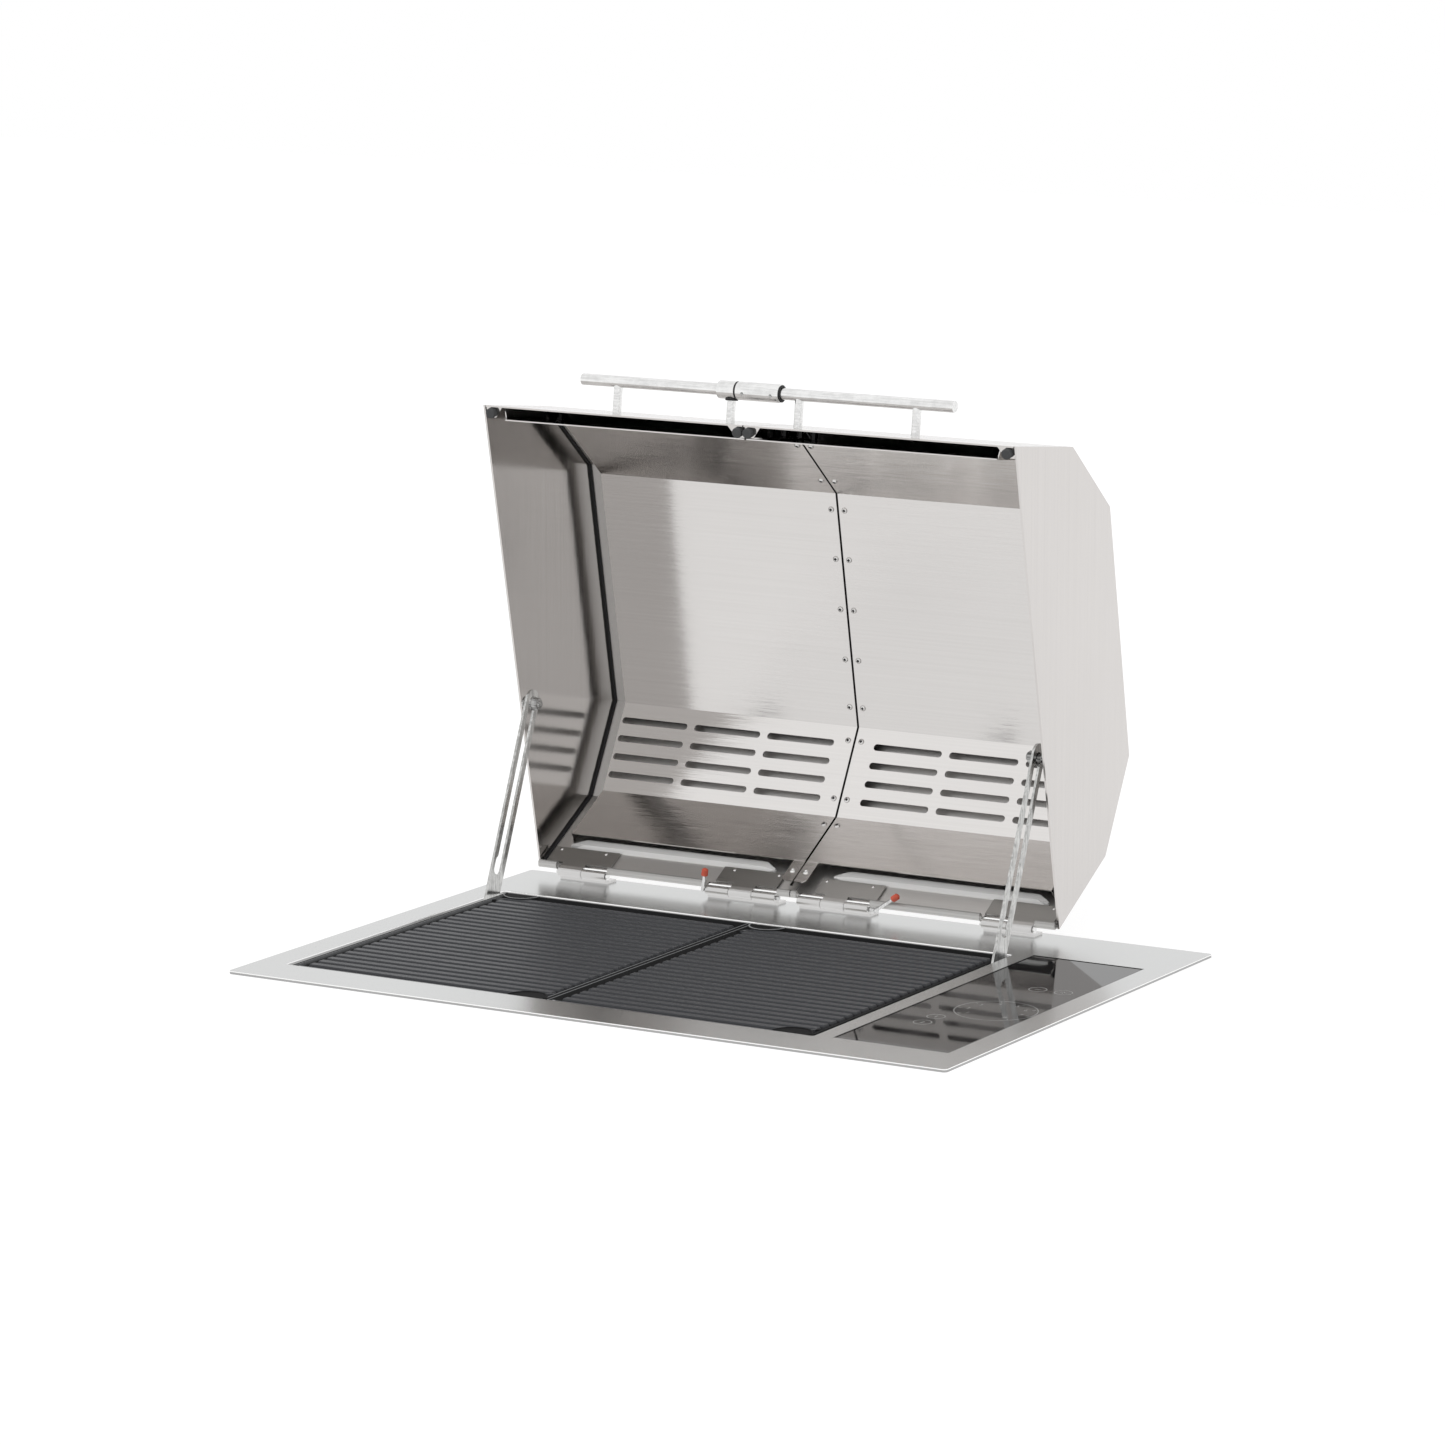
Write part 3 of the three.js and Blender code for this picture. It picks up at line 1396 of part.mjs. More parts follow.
function makeInnerLidLeaf(half, hinge) {
  const start = innerLeafStarts[half];
  return makeLidLeaf({ start, end: start + innerLeafLength }, hinge.lidStart, hinge.lidEnd);
}
const outerBaseLeaf = makeBaseLeaf(
  [[outerHinge.baseStart, outerHinge.lidStart]],
  outerHinge.baseStart, outerHinge.end,
);
const outerLidLeaf = makeLidLeaf(outerLeaf, outerHinge.lidStart, outerHinge.end);
const outerPin = makePin(outerHinge.baseStart, outerHinge.end);
const sides = { left: mirrored, right: (solid) => solid };
for (const [label, turn] of Object.entries(sides)) {
  const hinge = innerHingeOf(label);
  const innerBaseLeaf = makeInnerBaseLeaf(hinge);
  const innerLidLeaf = makeInnerLidLeaf(label, hinge);
  addTo(hingeBase, "base_leaf_inner_" + label, turn(innerBaseLeaf), materials.stainless);
  addTo(hingeBase, "base_leaf_outer_" + label, turn(outerBaseLeaf), materials.stainless);
  addTo(hingeBase, "hinge_pin_" + label, turn(outerPin), materials.polished);
  addTo(lid, "lid_leaf_inner_" + label, turn(innerLidLeaf), materials.stainless);
  addTo(lid, "lid_leaf_outer_" + label, turn(outerLidLeaf), materials.stainless);
}

// Release pins: a bent wire through the inner hinge, with a red cap on its lever. The lever steps
// forward of the rolled edge before it rises, so that the pin can be drawn along that edge.
const riseOpen = radians(lidOpenAngle);
const upward = new THREE.Vector3(0, -Math.sin(riseOpen), Math.cos(riseOpen));
const forward = new THREE.Vector3(0, -Math.cos(riseOpen), -Math.sin(riseOpen));
function leverOf(half) {
  const elbow = new THREE.Vector3(innerHingeOf(half).end + releaseStandOut, 0, 0);
  const step = elbow.clone().addScaledVector(forward, releaseJoggle);
  const reach = upward.clone().multiplyScalar(releaseLeverUps[half]);
  reach.x = releaseLeverOuts[half];
  const direction = reach.clone().normalize();
  const capMiddle = step.clone().add(reach);
  const capStart = capMiddle.clone().addScaledVector(direction, -releaseCapLength / 2);
  return { elbow, step, direction, capStart };
}
function ball(point, radius) {
  const geometry = new THREE.SphereGeometry(radius, smallSides, smallSides / 2);
  return toSolid(geometry.translate(point.x, point.y, point.z));
}
function makeReleasePin(half) {
  const { elbow, step, direction, capStart } = leverOf(half);
  const innerEnd = innerHingeStarts[half] - releaseInnerReach;
  const wireEnd = capStart.clone().addScaledVector(direction, -seat);
  return join(
    rodX(hingePinRadius, innerEnd, elbow.x, 0, 0, smallSides),
    ball(elbow, hingePinRadius),
    rodBetween(elbow, step, releaseWireRadius),
    ball(step, releaseWireRadius),
    rodBetween(step, wireEnd, releaseWireRadius),
  );
}
function makeReleaseCap(half) {
  const { direction, capStart } = leverOf(half);
  const profile = [
    [0, 0],
    [releaseCapRadius - bite, 0],
    [releaseCapRadius, bite],
    [releaseCapRadius, releaseCapLength - releaseBend / 2],
    [releaseCapRadius / 2, releaseCapLength],
    [0, releaseCapLength],
  ].map(([radius, along]) => new THREE.Vector2(radius, along));
  const turn = new THREE.Quaternion().setFromUnitVectors(new THREE.Vector3(0, 1, 0), direction);
  const geometry = new THREE.LatheGeometry(profile, smallSides).applyQuaternion(turn);
  return toSolid(geometry.translate(capStart.x, capStart.y, capStart.z));
}
for (const [label, turn] of Object.entries(sides)) {
  const pin = addTo(lid, "release_pin_" + label, turn(makeReleasePin(label)), materials.polished);
  const cap = addTo(lid, "release_cap_" + label, turn(makeReleaseCap(label)), materials.cap);
  pin.position.x = releaseDrawn[label];
  cap.position.x = releaseDrawn[label];
}

// Stays: slotted arms on screws in the firebox wall, and studs on the lid's side panels.
// The stud ends just short of the arm, and the nut with its shank belongs to the arm.
const openAngle = radians(lidOpenAngle);
const studClosed = new THREE.Vector2(-studForward, studHeight);
const studOpen = studClosed.clone().rotateAround(new THREE.Vector2(), -openAngle);
const pivotPoint = new THREE.Vector2(-stayPivotForward, -stayPivotDrop);
const stayLine = studOpen.clone().sub(pivotPoint);
const stayLength = stayLine.length();
const stayLean = Math.atan2(stayLine.x, stayLine.y); // from upright, towards the back
const stayOuterX = openingWidth / 2 - stayFromOpening; // the arm's face towards the wall
const stayInnerX = stayOuterX - stayThickness;
const wallX = fireboxRight - openingMiddle;
// The arm is drawn upright from its pivot and then leant back.
function makeArm() {
  const half = stayWidth / 2;
  const shape = new THREE.Shape();
  shape.absarc(0, 0, half, Math.PI, 2 * Math.PI);
  shape.absarc(0, stayLength + stayTopReach - half, half, 0, Math.PI);
  const slot = new THREE.Path();
  const end = staySlotWidth / 2;
  slot.absarc(0, stayLength, end, 0, Math.PI);
  slot.absarc(0, staySlotStart + end, end, Math.PI, 2 * Math.PI);
  shape.holes.push(slot);
  const pivotHole = new THREE.Path();
  pivotHole.absarc(0, 0, stayPivotRadius + stayPivotClearance, 0, 2 * Math.PI);
  shape.holes.push(pivotHole);
  const notch = new THREE.Shape();
  notch.absarc(-stayNotchDepth, staySlotStart + end, end, Math.PI, 2 * Math.PI);
  notch.absarc(-stayNotchDepth, staySlotStart + end + stayNotchLength, end, 0, Math.PI);
  return cut(
    plateX(shape, stayInnerX, stayOuterX, fineSides / 2),
    plateX(notch, stayInnerX - overrun, stayOuterX + overrun, fineSides / 2),
  );
}
// Nut, washer and the shank in the slot, drawn at the stud's place on the upright arm
function makeStayNut() {
  const washerFace = stayInnerX - seat;
  const nutFace = washerFace - washerThickness;
  const domeFace = nutFace - nutLength;
  return join(
    rodX(studRadius, nutFace, stayOuterX, 0, stayLength, smallSides),
    rodX(washerRadius, nutFace, washerFace, 0, stayLength),
    rodX(nutRadius, domeFace, nutFace + bite, 0, stayLength, nutSides),
    rodX(nutDomeRadius, domeFace - nutDomeLength, domeFace + bite, 0, stayLength, smallSides),
  );
}
function makePivotScrew() {
  const head = stayInnerX - seat;
  return join(
    rodX(pivotCollarRadius, stayOuterX + seat, wallX - seat, 0, 0),
    rodX(stayPivotRadius, head - bite, stayOuterX + seat + bite, 0, 0, smallSides),
    rodX(pivotHeadRadius, head - pivotHeadLength, head, 0, 0),
  );
}
function makeStud() {
  const panelFace = lidHalf - sidePanelThickness - seat;
  return join(
    rodX(studRadius + bite, stayOuterX + seat, panelFace, -studForward, studHeight),
    rodX(studBaseRadius, panelFace - studBaseLength, panelFace, -studForward, studHeight),
  );
}
const armSolid = makeArm();
const nutSolid = makeStayNut();
const screwSolid = makePivotScrew();
const studSolid = makeStud();
for (const [label, turn] of Object.entries(sides)) {
  const stay = new THREE.Group();
  stay.position.set(openingMiddle, hingeY + pivotPoint.x, hingeZ + pivotPoint.y);
  stay.rotation.x = -stayLean;
  part.add(stay);
  addTo(stay, "stay_arm_" + label, turn(armSolid), materials.polished);
  addTo(stay, "stay_nut_" + label, turn(nutSolid), materials.polished);
  addTo(stay, "stay_screw_" + label, turn(screwSolid), materials.polished);
  addTo(lid, "stay_stud_" + label, turn(studSolid), materials.polished);
}

export default part;
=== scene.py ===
# %% [markdown]
# # A built-in electric grill with its lid open
# The grill is a thin steel deck that lies on a worktop. Two cast grates lie in its opening, a
# black touch glass lies beside them, and a faceted double-wall lid leans back on two stays. The
# packed CAD model brings every solid to its place. What is left to Blender is light, metal,
# painted light and shade, and the small things that a sheet-metal shop adds: screws, rivets,
# rings and marks.
#

# %% Load the frame
import math

import bmesh
import bpy
from mathutils import Matrix, Vector


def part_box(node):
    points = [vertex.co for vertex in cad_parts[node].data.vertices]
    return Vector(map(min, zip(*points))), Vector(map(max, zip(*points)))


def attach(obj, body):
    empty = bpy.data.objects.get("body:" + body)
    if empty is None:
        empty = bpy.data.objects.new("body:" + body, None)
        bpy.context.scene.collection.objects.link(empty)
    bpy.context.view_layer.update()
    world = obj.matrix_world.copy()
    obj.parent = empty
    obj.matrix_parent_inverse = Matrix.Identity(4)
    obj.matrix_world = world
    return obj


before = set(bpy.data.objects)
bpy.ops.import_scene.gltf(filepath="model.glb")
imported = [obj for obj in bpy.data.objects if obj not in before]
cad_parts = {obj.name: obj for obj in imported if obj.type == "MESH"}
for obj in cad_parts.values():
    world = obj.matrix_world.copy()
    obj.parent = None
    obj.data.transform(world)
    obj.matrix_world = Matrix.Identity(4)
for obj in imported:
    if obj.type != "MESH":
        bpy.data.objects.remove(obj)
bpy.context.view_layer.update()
MM = 0.001

# %% [markdown]
# ## The camera
# The photo shows the grill from the front right and a little above, with the two sides of the
# deck nearly parallel, as a long lens sees them from far away. We give the camera its spot and
# the direction it looks along, and build its three axes from them. That is exact, where a
# tracking constraint would only be close.

# %% Camera
CAMERA_SPOT = Vector((2.8388, -4.8239, 1.3715))
CAMERA_AIM = Vector((-0.49882, 0.84730, -0.18239))
SENSOR = 36.0
FOCAL_PIXELS = 5996.5
PHOTO_PIXELS = 1445
FARTHEST_SEEN = 60


def aim(spot, direction, up=Vector((0, 0, 1))):
    """A matrix that stands at a spot and looks along a direction, with X level."""
    back = -direction.normalized()
    side = up.cross(back).normalized()
    turn = Matrix((side, back.cross(side), back)).transposed()
    return Matrix.Translation(spot) @ turn.to_4x4()


camera_data = bpy.data.cameras.new("camera")
camera_data.sensor_width = SENSOR
camera_data.sensor_height = SENSOR
camera_data.lens = SENSOR * (FOCAL_PIXELS / PHOTO_PIXELS)
camera_data.clip_end = FARTHEST_SEEN
camera = bpy.data.objects.new("camera", camera_data)
camera.matrix_world = aim(CAMERA_SPOT, CAMERA_AIM)
bpy.context.scene.collection.objects.link(camera)
bpy.context.scene.camera = camera
print("lens", round(camera_data.lens, 2), "mm")

# %% [markdown]
# ## Shader maths in plain Python
# A finish is a small program of nodes. Wired by hand, each sum takes five lines, so we wrap a
# socket in a class whose operators add the Math nodes for us. `1 - mask * 0.3` then reads as it
# would on paper. The last lines try it on an empty tree.

# %% Wires
def plug(tree, socket, value):
    """Links a wire to a socket, or writes a plain value on it."""
    if isinstance(value, Wire):
        tree.links.new(value.socket, socket)
    else:
        socket.default_value = value


class Wire:
    """An output socket that can be used in a sum."""

    def __init__(self, tree, socket):
        self.tree = tree
        self.socket = socket

    def math(self, operation, first, second=0.0):
        """Adds a Math node and gives its result."""
        node = self.tree.nodes.new("ShaderNodeMath")
        node.operation = operation
        plug(self.tree, node.inputs[0], first)
        plug(self.tree, node.inputs[1], second)
        return Wire(self.tree, node.outputs[0])

    def __add__(self, other):
        return self.math("ADD", self, other)

    def __sub__(self, other):
        return self.math("SUBTRACT", self, other)

    def __rsub__(self, other):
        return self.math("SUBTRACT", other, self)

    def __mul__(self, other):
        return self.math("MULTIPLY", self, other)

    def __abs__(self):
        return self.math("ABSOLUTE", self)

    def larger(self, other):
        return self.math("MAXIMUM", self, other)

    __radd__ = __add__
    __rmul__ = __mul__


trial = bpy.data.node_groups.new("trial", "ShaderNodeTree")
mask = Wire(trial, trial.nodes.new("ShaderNodeValue").outputs[0])
print("1 - mask * 0.3 ends in a node set to", (1 - mask * 0.3).socket.node.operation)
bpy.data.node_groups.remove(trial)

# %% [markdown]
# Every other node comes from one method. It takes the node's kind, its settings and the values or
# wires of its sockets. Patterns that most finishes share get short names: a blend of two colours,
# a soft step, a noise. Colours go through a Mix node, because a Math node would turn them grey.

# %% Nodes by name
class Shader:
    """A node tree with one shader node whose sockets are set by name."""

    def __init__(self, tree, shader):
        self.tree = tree
        self.shader = shader

    def node(self, kind, settings=None, out=0, **inputs):
        """Adds a node. Sockets are named in lower case, or by number as s0, s1."""
        node = self.tree.nodes.new("ShaderNode" + kind)
        for key, value in (settings or {}).items():
            setattr(node, key, value)
        for key, value in inputs.items():
            if key[0] == "s" and key[1:].isdigit():
                socket = node.inputs[int(key[1:])]
            else:
                socket = node.inputs[key.replace("_", " ").title()]
            plug(self.tree, socket, value)
        return Wire(self.tree, node.outputs[out])

    def set(self, **sockets):
        """Sets sockets of the shader node itself."""
        for key, value in sockets.items():
            name = key.replace("_", " ").title().replace("Ior", "IOR")
            plug(self.tree, self.shader.inputs[name], value)
        return self

    def mix(self, factor, first, second, blend="MIX"):
        """A blend of two colours."""
        first, second = (c if isinstance(c, Wire) else (*c, 1.0) for c in (first, second))
        settings = {"data_type": "RGBA", "blend_type": blend}
        return self.node("Mix", settings, out=2, s0=factor, s6=first, s7=second)

    def ramp(self, value, low, high):
        """0 below low, 1 above high and a smooth rise between."""
        settings = {"interpolation_type": "SMOOTHSTEP"}
        return self.node("MapRange", settings, s0=value, s1=low, s2=high)

    def spot(self):
        """Where a point of the surface lies, in object space."""
        return self.node("TexCoord", out=3)

    def normal(self):
        """The way the surface faces, in object space."""
        return self.node("TexCoord", out=1)

    def place(self, scale=(1, 1, 1), shift=(0, 0, 0)):
        """Object coordinates, moved and scaled."""
        return self.node("Mapping", vector=self.spot(), location=shift, scale=scale)

    def axis(self, vector, which):
        """One part of a vector."""
        return self.node("SeparateXYZ", out=which, vector=vector)

    def noise(self, spot, scale, detail=2.0, roughness=0.5):
        return self.node("TexNoise", vector=spot, scale=scale, detail=detail, roughness=roughness)

    def bump(self, height, distance, strength=1.0):
        return self.node("Bump", strength=strength, distance=distance, height=height)

    def vector(self, operation, *vectors, **inputs):
        """Vector maths. A dot product and a length come out as numbers."""
        inputs.update({f"s{number}": vector for number, vector in enumerate(vectors)})
        out = 1 if operation in ("DOT_PRODUCT", "LENGTH") else 0
        return self.node("VectorMath", {"operation": operation}, out=out, **inputs)


print("shader helpers:", *[name for name in vars(Shader) if not name.startswith("_")])

# %% [markdown]
# ## The touch glass
# The touch area is a sheet of black glass. It could be a clear plate over a dark print, but one
# dark glossy surface gives the same picture, and no light has to find its way through it. A
# faint noise in its roughness stands for the smears that fingers leave. It is our first finish.

# %% Black glass
SMEARS_PER_METRE = 40.0
GLASS_ROUGHNESS = 0.02
SMEAR_ROUGHNESS = 0.03
FINISHES = {}


def finish(name, **sockets):
    """A new material whose Principled shader has these fixed values."""
    material = bpy.data.materials.new(name)
    material.use_nodes = True
    tree = material.node_tree
    FINISHES[name] = material
    return Shader(tree, tree.nodes["Principled BSDF"]).set(**sockets)


glass = finish("black_glass", base_color=(0.006, 0.006, 0.007, 1.0), ior=1.5)
smears = glass.noise(glass.place(), SMEARS_PER_METRE, detail=2.0)
glass.set(roughness=smears * SMEAR_ROUGHNESS + GLASS_ROUGHNESS)
print("black glass is made of", len(glass.tree.nodes), "nodes")

# %% [markdown]
# ## The lid's own frame
# Places on the lid are easiest to give with the lid shut, where its faces run level and upright.
# One matrix leans them back with the open lid. It turns about the hinge axis by the angle at which
# the photo shows the lid. We also need the lid's lower back wall, which carries the hinges: the
# way up it, and the way from it into the lid.

# %% Places on the open lid
HINGE = Vector((-66.5, 246, 108)) * MM
LEAN = math.radians(79.2)
open_lid = Matrix.Translation(HINGE) @ Matrix.Rotation(-LEAN, 4, "X")


def lid_point(x, y, z):
    """A point given in millimetres on the shut lid, from the hinge axis at the seam."""
    return open_lid @ (Vector((x, y, z)) * MM)


LID_MIDDLE = lid_point(0, -250, 60)
WALL_FOOT = lid_point(0, -2, 4)
WALL_HEAD = lid_point(0, -38, 110)
wall_up = (WALL_HEAD - WALL_FOOT).normalized()
wall_inward = wall_up.cross(Vector((1, 0, 0)))
if wall_inward.dot(LID_MIDDLE - WALL_FOOT) < 0:
    wall_inward.negate()
print("the lid's middle lies at", tuple(round(part, 3) for part in LID_MIDDLE))

# %% [markdown]
# ## Brushed stainless sheet
# Sheet that was ground with a belt has grooves that all run one way. They smear a reflection
# across the grain only. On the liner, whose grain runs from left to right, the upright edge of a
# side panel stays crisp and a level edge blurs. The shader's own Anisotropic setting could do
# this. We lean the normal across the grain instead, by a noise that is stretched along it: the
# lean follows every bend, and a normal can be baked.
#
# Wider streaks and patches of the same kind of noise keep the tone and the gloss from being even.
# The first sheets are plain: pan, trays, hinge leaves on the deck and the elements' sheath.

# %% Brushed steel
GROOVES_PER_METRE = 4200.0
GROOVE_LENGTH_SCALE = 22.0
STREAK_COARSENESS = 8
STREAK_SHARE = 0.55
STREAK_ROUGHNESS = 0.1
PATCHES_PER_METRE = 7.0
PATCH_ROUGHNESS = 0.06
WEAR_DARK = (0.9, 0.895, 0.89)
WEAR_LIGHT = (1.06, 1.06, 1.06)
ALONG_X = (1, 0, 0)
ALONG_Y = (0, 1, 0)
ALONG_Z = (0, 0, 1)


def leant_normal(steel, grain, amount):
    """The surface's normal, leant across the grain."""
    settings = {"vector_type": "VECTOR", "convert_from": "OBJECT", "convert_to": "WORLD"}
    direction = steel.node("VectorTransform", settings, vector=grain)
    normal = steel.node("NewGeometry", out=1)
    across = steel.vector("CROSS_PRODUCT", normal, direction)
    leant = steel.vector("ADD", normal, steel.vector("SCALE", across, scale=amount))
    return steel.vector("NORMALIZE", leant)


def brushed(name, grain, color, roughness, tilt, change=None):
    """Steel with grooves along a direction in object space. A change edits its tones."""
    steel = finish(name, metallic=1.0)
    fine = [GROOVE_LENGTH_SCALE if abs(part) > 0.5 else GROOVES_PER_METRE for part in grain]
    coarse = [part / STREAK_COARSENESS for part in fine]
    grooves = steel.noise(steel.place(scale=fine), 1.0, detail=2.0, roughness=0.6)
    streaks = steel.noise(steel.place(scale=coarse), 1.0, detail=3.0)
    patches = steel.noise(steel.place(), PATCHES_PER_METRE, detail=3.0)
    steel.set(normal=leant_normal(steel, grain, (grooves - 0.5) * tilt))
    tone, rough = change(steel, color, roughness) if change else (color, roughness)
    uneven = streaks * STREAK_SHARE + patches * (1 - STREAK_SHARE)
    wear = steel.mix(uneven, WEAR_DARK, WEAR_LIGHT)
    steel.set(base_color=steel.mix(1.0, tone, wear, blend="MULTIPLY"))
    gloss = (streaks - 0.5) * STREAK_ROUGHNESS + (patches - 0.5) * PATCH_ROUGHNESS
    steel.set(roughness=gloss + rough)


brushed("base_leaf_steel", ALONG_X, (0.62, 0.615, 0.61), roughness=0.24, tilt=0.08)
brushed("dull_steel", ALONG_X, (0.55, 0.57, 0.58), roughness=0.42, tilt=0.1)
brushed("tray_aluminium", ALONG_X, (0.78, 0.78, 0.77), roughness=0.35, tilt=0.1)
brushed("sheath_steel", ALONG_Y, (0.2, 0.18, 0.17), roughness=0.5, tilt=0.05)
print(len(FINISHES), "finishes so far")

# %% [markdown]
# ## The liner and its seam
# The flat back of the liner is painted a little darker than the bent fields round it, and the
# bent fields paler: painted light and shade by the way a face looks. The two could be separate
# materials, but the liner is one solid, so we ask each face which way it looks: only the back's
# faces share the back's normal. The seam's slit is painted dark as shade, and that goes by the
# distance from the lid's middle plane.

# %% Liner steel
LINER_TONE = (0.675, 0.658, 0.646)
# Painted light: the bent fields are paler than the flat back.
CHAMFER_PAINTED_LIGHT = (0.76, 0.742, 0.728)
# Painted shade: black for the seam's slit, the skins' side edges and the joint round the glass.
SHADE_BLACK = (0.02, 0.02, 0.02)
BACK_NORMAL = open_lid.to_3x3() @ Vector((0, 0, -1))
BACK_LIKENESS = (0.88, 0.96)
SLIT_HALF_WIDTH = (1.2 * MM, 1.6 * MM)


def liner_painted_light(steel, tone, rough):
    """Painted light and shade: the flat back keeps the darker tone, the other fields are paler."""
    likeness = steel.vector("DOT_PRODUCT", steel.normal(), tuple(BACK_NORMAL))
    return steel.mix(steel.ramp(likeness, *BACK_LIKENESS), CHAMFER_PAINTED_LIGHT, tone), rough


def seam_painted_shade(steel, tone, rough):
    """Paints shade into the slit between the two liners."""
    beside_seam = abs(steel.axis(steel.place(shift=(-HINGE.x, 0, 0)), 0))
    slit = 1 - steel.ramp(beside_seam, *SLIT_HALF_WIDTH)
    return steel.mix(slit, tone, SHADE_BLACK), rough


brushed("liner_steel", ALONG_X, LINER_TONE, roughness=0.13, tilt=0.3, change=liner_painted_light)
brushed("seam_steel", ALONG_X, LINER_TONE, roughness=0.16, tilt=0.2, change=seam_painted_shade)
print("the liner's back looks along", tuple(round(part, 3) for part in BACK_NORMAL))

# %% [markdown]
# ## The lid's outer sheets
# The side panels and the skins are ground outside. The skins look like plain mill sheet inside,
# and the side panels are painted darker inside, as shade. Two materials per solid would need the
# faces sorted by hand. A face can tell its side by itself: the dot product of its normal with the
# way to the lid's middle is positive inside.
#
# On the skins, the pressed bead and the hem under it are duller than the sheet. The bead is
# painted paler as a highlight and the hem darker as shade. Edges that look sideways are painted
# black as shade in the joints. Bead and hem go by their distances from the wall's foot.

# %% Panel and skin steel
OUTER_TONE = (0.65, 0.628, 0.615)
MILL_TONE = (0.68, 0.67, 0.66)
# Painted shade on the side panels' insides.
PANEL_INSIDE_SHADE = (0.5, 0.484, 0.473)
MILL_ROUGHNESS = 0.4
SIDE_FLIP = 0.002
SIDEWAYS = (0.1, 0.3)
BEAD_DEPTH = (2 * MM, 6.4 * MM, 0.1 * MM)
BEAD_HEIGHT = (24 * MM, 50 * MM, 0.5 * MM)
# Painted highlight on the bead.
BEAD_HIGHLIGHT = (0.86, 0.86, 0.855)
BEAD_DULLNESS = 0.45
HEM_TOP = (2.4 * MM, 4 * MM)
# Painted shade on the hem.
HEM_SHADE = (0.5, 0.495, 0.485)
HEM_DULLNESS = 0.2


def beyond(steel, spot, direction):
    """How far a point of the surface lies beyond a spot, measured along a direction."""
    offset = steel.vector("SUBTRACT", steel.spot(), tuple(spot))
    return steel.vector("DOT_PRODUCT", offset, tuple(direction))


def past(shader, value, edge, softness):
    """0 before an edge, 1 past it."""
    return shader.ramp(value, edge - softness, edge + softness)


def band(shader, value, low, high, softness):
    """1 between low and high."""
    return past(shader, value, low, softness) * (1 - past(shader, value, high, softness))


def mill_inside(steel, tone, rough, mill_tone, mill_rough):
    """The second tone and roughness on faces that look at the lid's middle."""
    towards = steel.vector("SUBTRACT", tuple(LID_MIDDLE), steel.spot())
    facing = steel.vector("DOT_PRODUCT", towards, steel.normal())
    side = steel.ramp(facing, -SIDE_FLIP, SIDE_FLIP)
    return steel.mix(side, tone, mill_tone), side * (mill_rough - rough) + rough


def panel_painted_shade(steel, tone, rough):
    """Painted shade: a darker inside, as smooth as the outside."""
    return mill_inside(steel, tone, rough, PANEL_INSIDE_SHADE, rough)


def skin_finish_and_painted_light(steel, tone, rough):
    """Painted shade on the side edges, a dull bead with a painted highlight and a dull hem in
    shade.
    """
    tone, rough = mill_inside(steel, tone, rough, MILL_TONE, MILL_ROUGHNESS)
    # Painted shade: faces that look sideways, in the joints, go black.
    edges = steel.ramp(abs(steel.axis(steel.normal(), 0)), *SIDEWAYS)
    raised = band(steel, beyond(steel, WALL_FOOT, wall_inward), *BEAD_DEPTH)
    bead = raised * band(steel, beyond(steel, WALL_FOOT, wall_up), *BEAD_HEIGHT)
    hem = 1 - steel.ramp(beyond(steel, WALL_FOOT, wall_up), *HEM_TOP)
    tone = steel.mix(edges, tone, SHADE_BLACK)
    tone = steel.mix(bead, tone, BEAD_HIGHLIGHT)
    tone = steel.mix(hem, tone, HEM_SHADE)
    return tone, rough + bead * BEAD_DULLNESS + hem * HEM_DULLNESS


brushed("panel_steel", ALONG_Z, OUTER_TONE, roughness=0.14, tilt=0.2, change=panel_painted_shade)
brushed("skin_steel", ALONG_X, OUTER_TONE, roughness=0.14, tilt=0.25, change=skin_finish_and_painted_light)
print(len(FINISHES), "finishes so far")

# %% [markdown]
# ## The deck
# The deck is a plate with a cut edge. That edge is painted in two lines, a highlight above and
# shade below, and the thin joint round the glass is painted dark as shade. Both could be modelled
# as slivers of mesh, but they lie on one solid whose faces tell them apart, so we paint them by
# place.

# %% Deck steel
DECK_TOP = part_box("deck")[1][2]
GLASS_LOW, GLASS_HIGH = (Vector(corner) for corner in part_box("control_glass"))
GLASS_GAP = 1.3 * MM
GAP_SOFTNESS = 0.1 * MM
LEVEL = (0.4, 0.7)
DECK_TONE = (0.61, 0.618, 0.617)
# Painted highlight and shade on the deck's cut edge.
HIGHLIGHT_LINE = (DECK_TOP - 1.1 * MM, DECK_TOP - 0.8 * MM)
EDGE_SHADE = (0.4, 0.4, 0.4)
EDGE_HIGHLIGHT = (0.96, 0.96, 0.96)


def deck_painted_light(steel, tone, rough):
    """A painted highlight and shade on the cut edge, and painted shade in the joint round the
    glass.
    """
    edge = 1 - steel.ramp(abs(steel.axis(steel.normal(), 2)), *LEVEL)
    spot = steel.place()
    highlight_part = steel.ramp(steel.axis(spot, 2), *HIGHLIGHT_LINE)
    tone = steel.mix(edge, tone, steel.mix(highlight_part, EDGE_SHADE, EDGE_HIGHLIGHT))
    near_x, near_y = (
        band(
            steel, steel.axis(spot, which),
            GLASS_LOW[which] - GLASS_GAP, GLASS_HIGH[which] + GLASS_GAP, GAP_SOFTNESS,
        )
        for which in (0, 1)
    )
    return steel.mix(near_x * near_y, tone, SHADE_BLACK), rough


brushed("deck_steel", ALONG_X, DECK_TONE, roughness=0.24, tilt=0.02, change=deck_painted_light)
print("glass from", tuple(GLASS_LOW), "to", tuple(GLASS_HIGH))

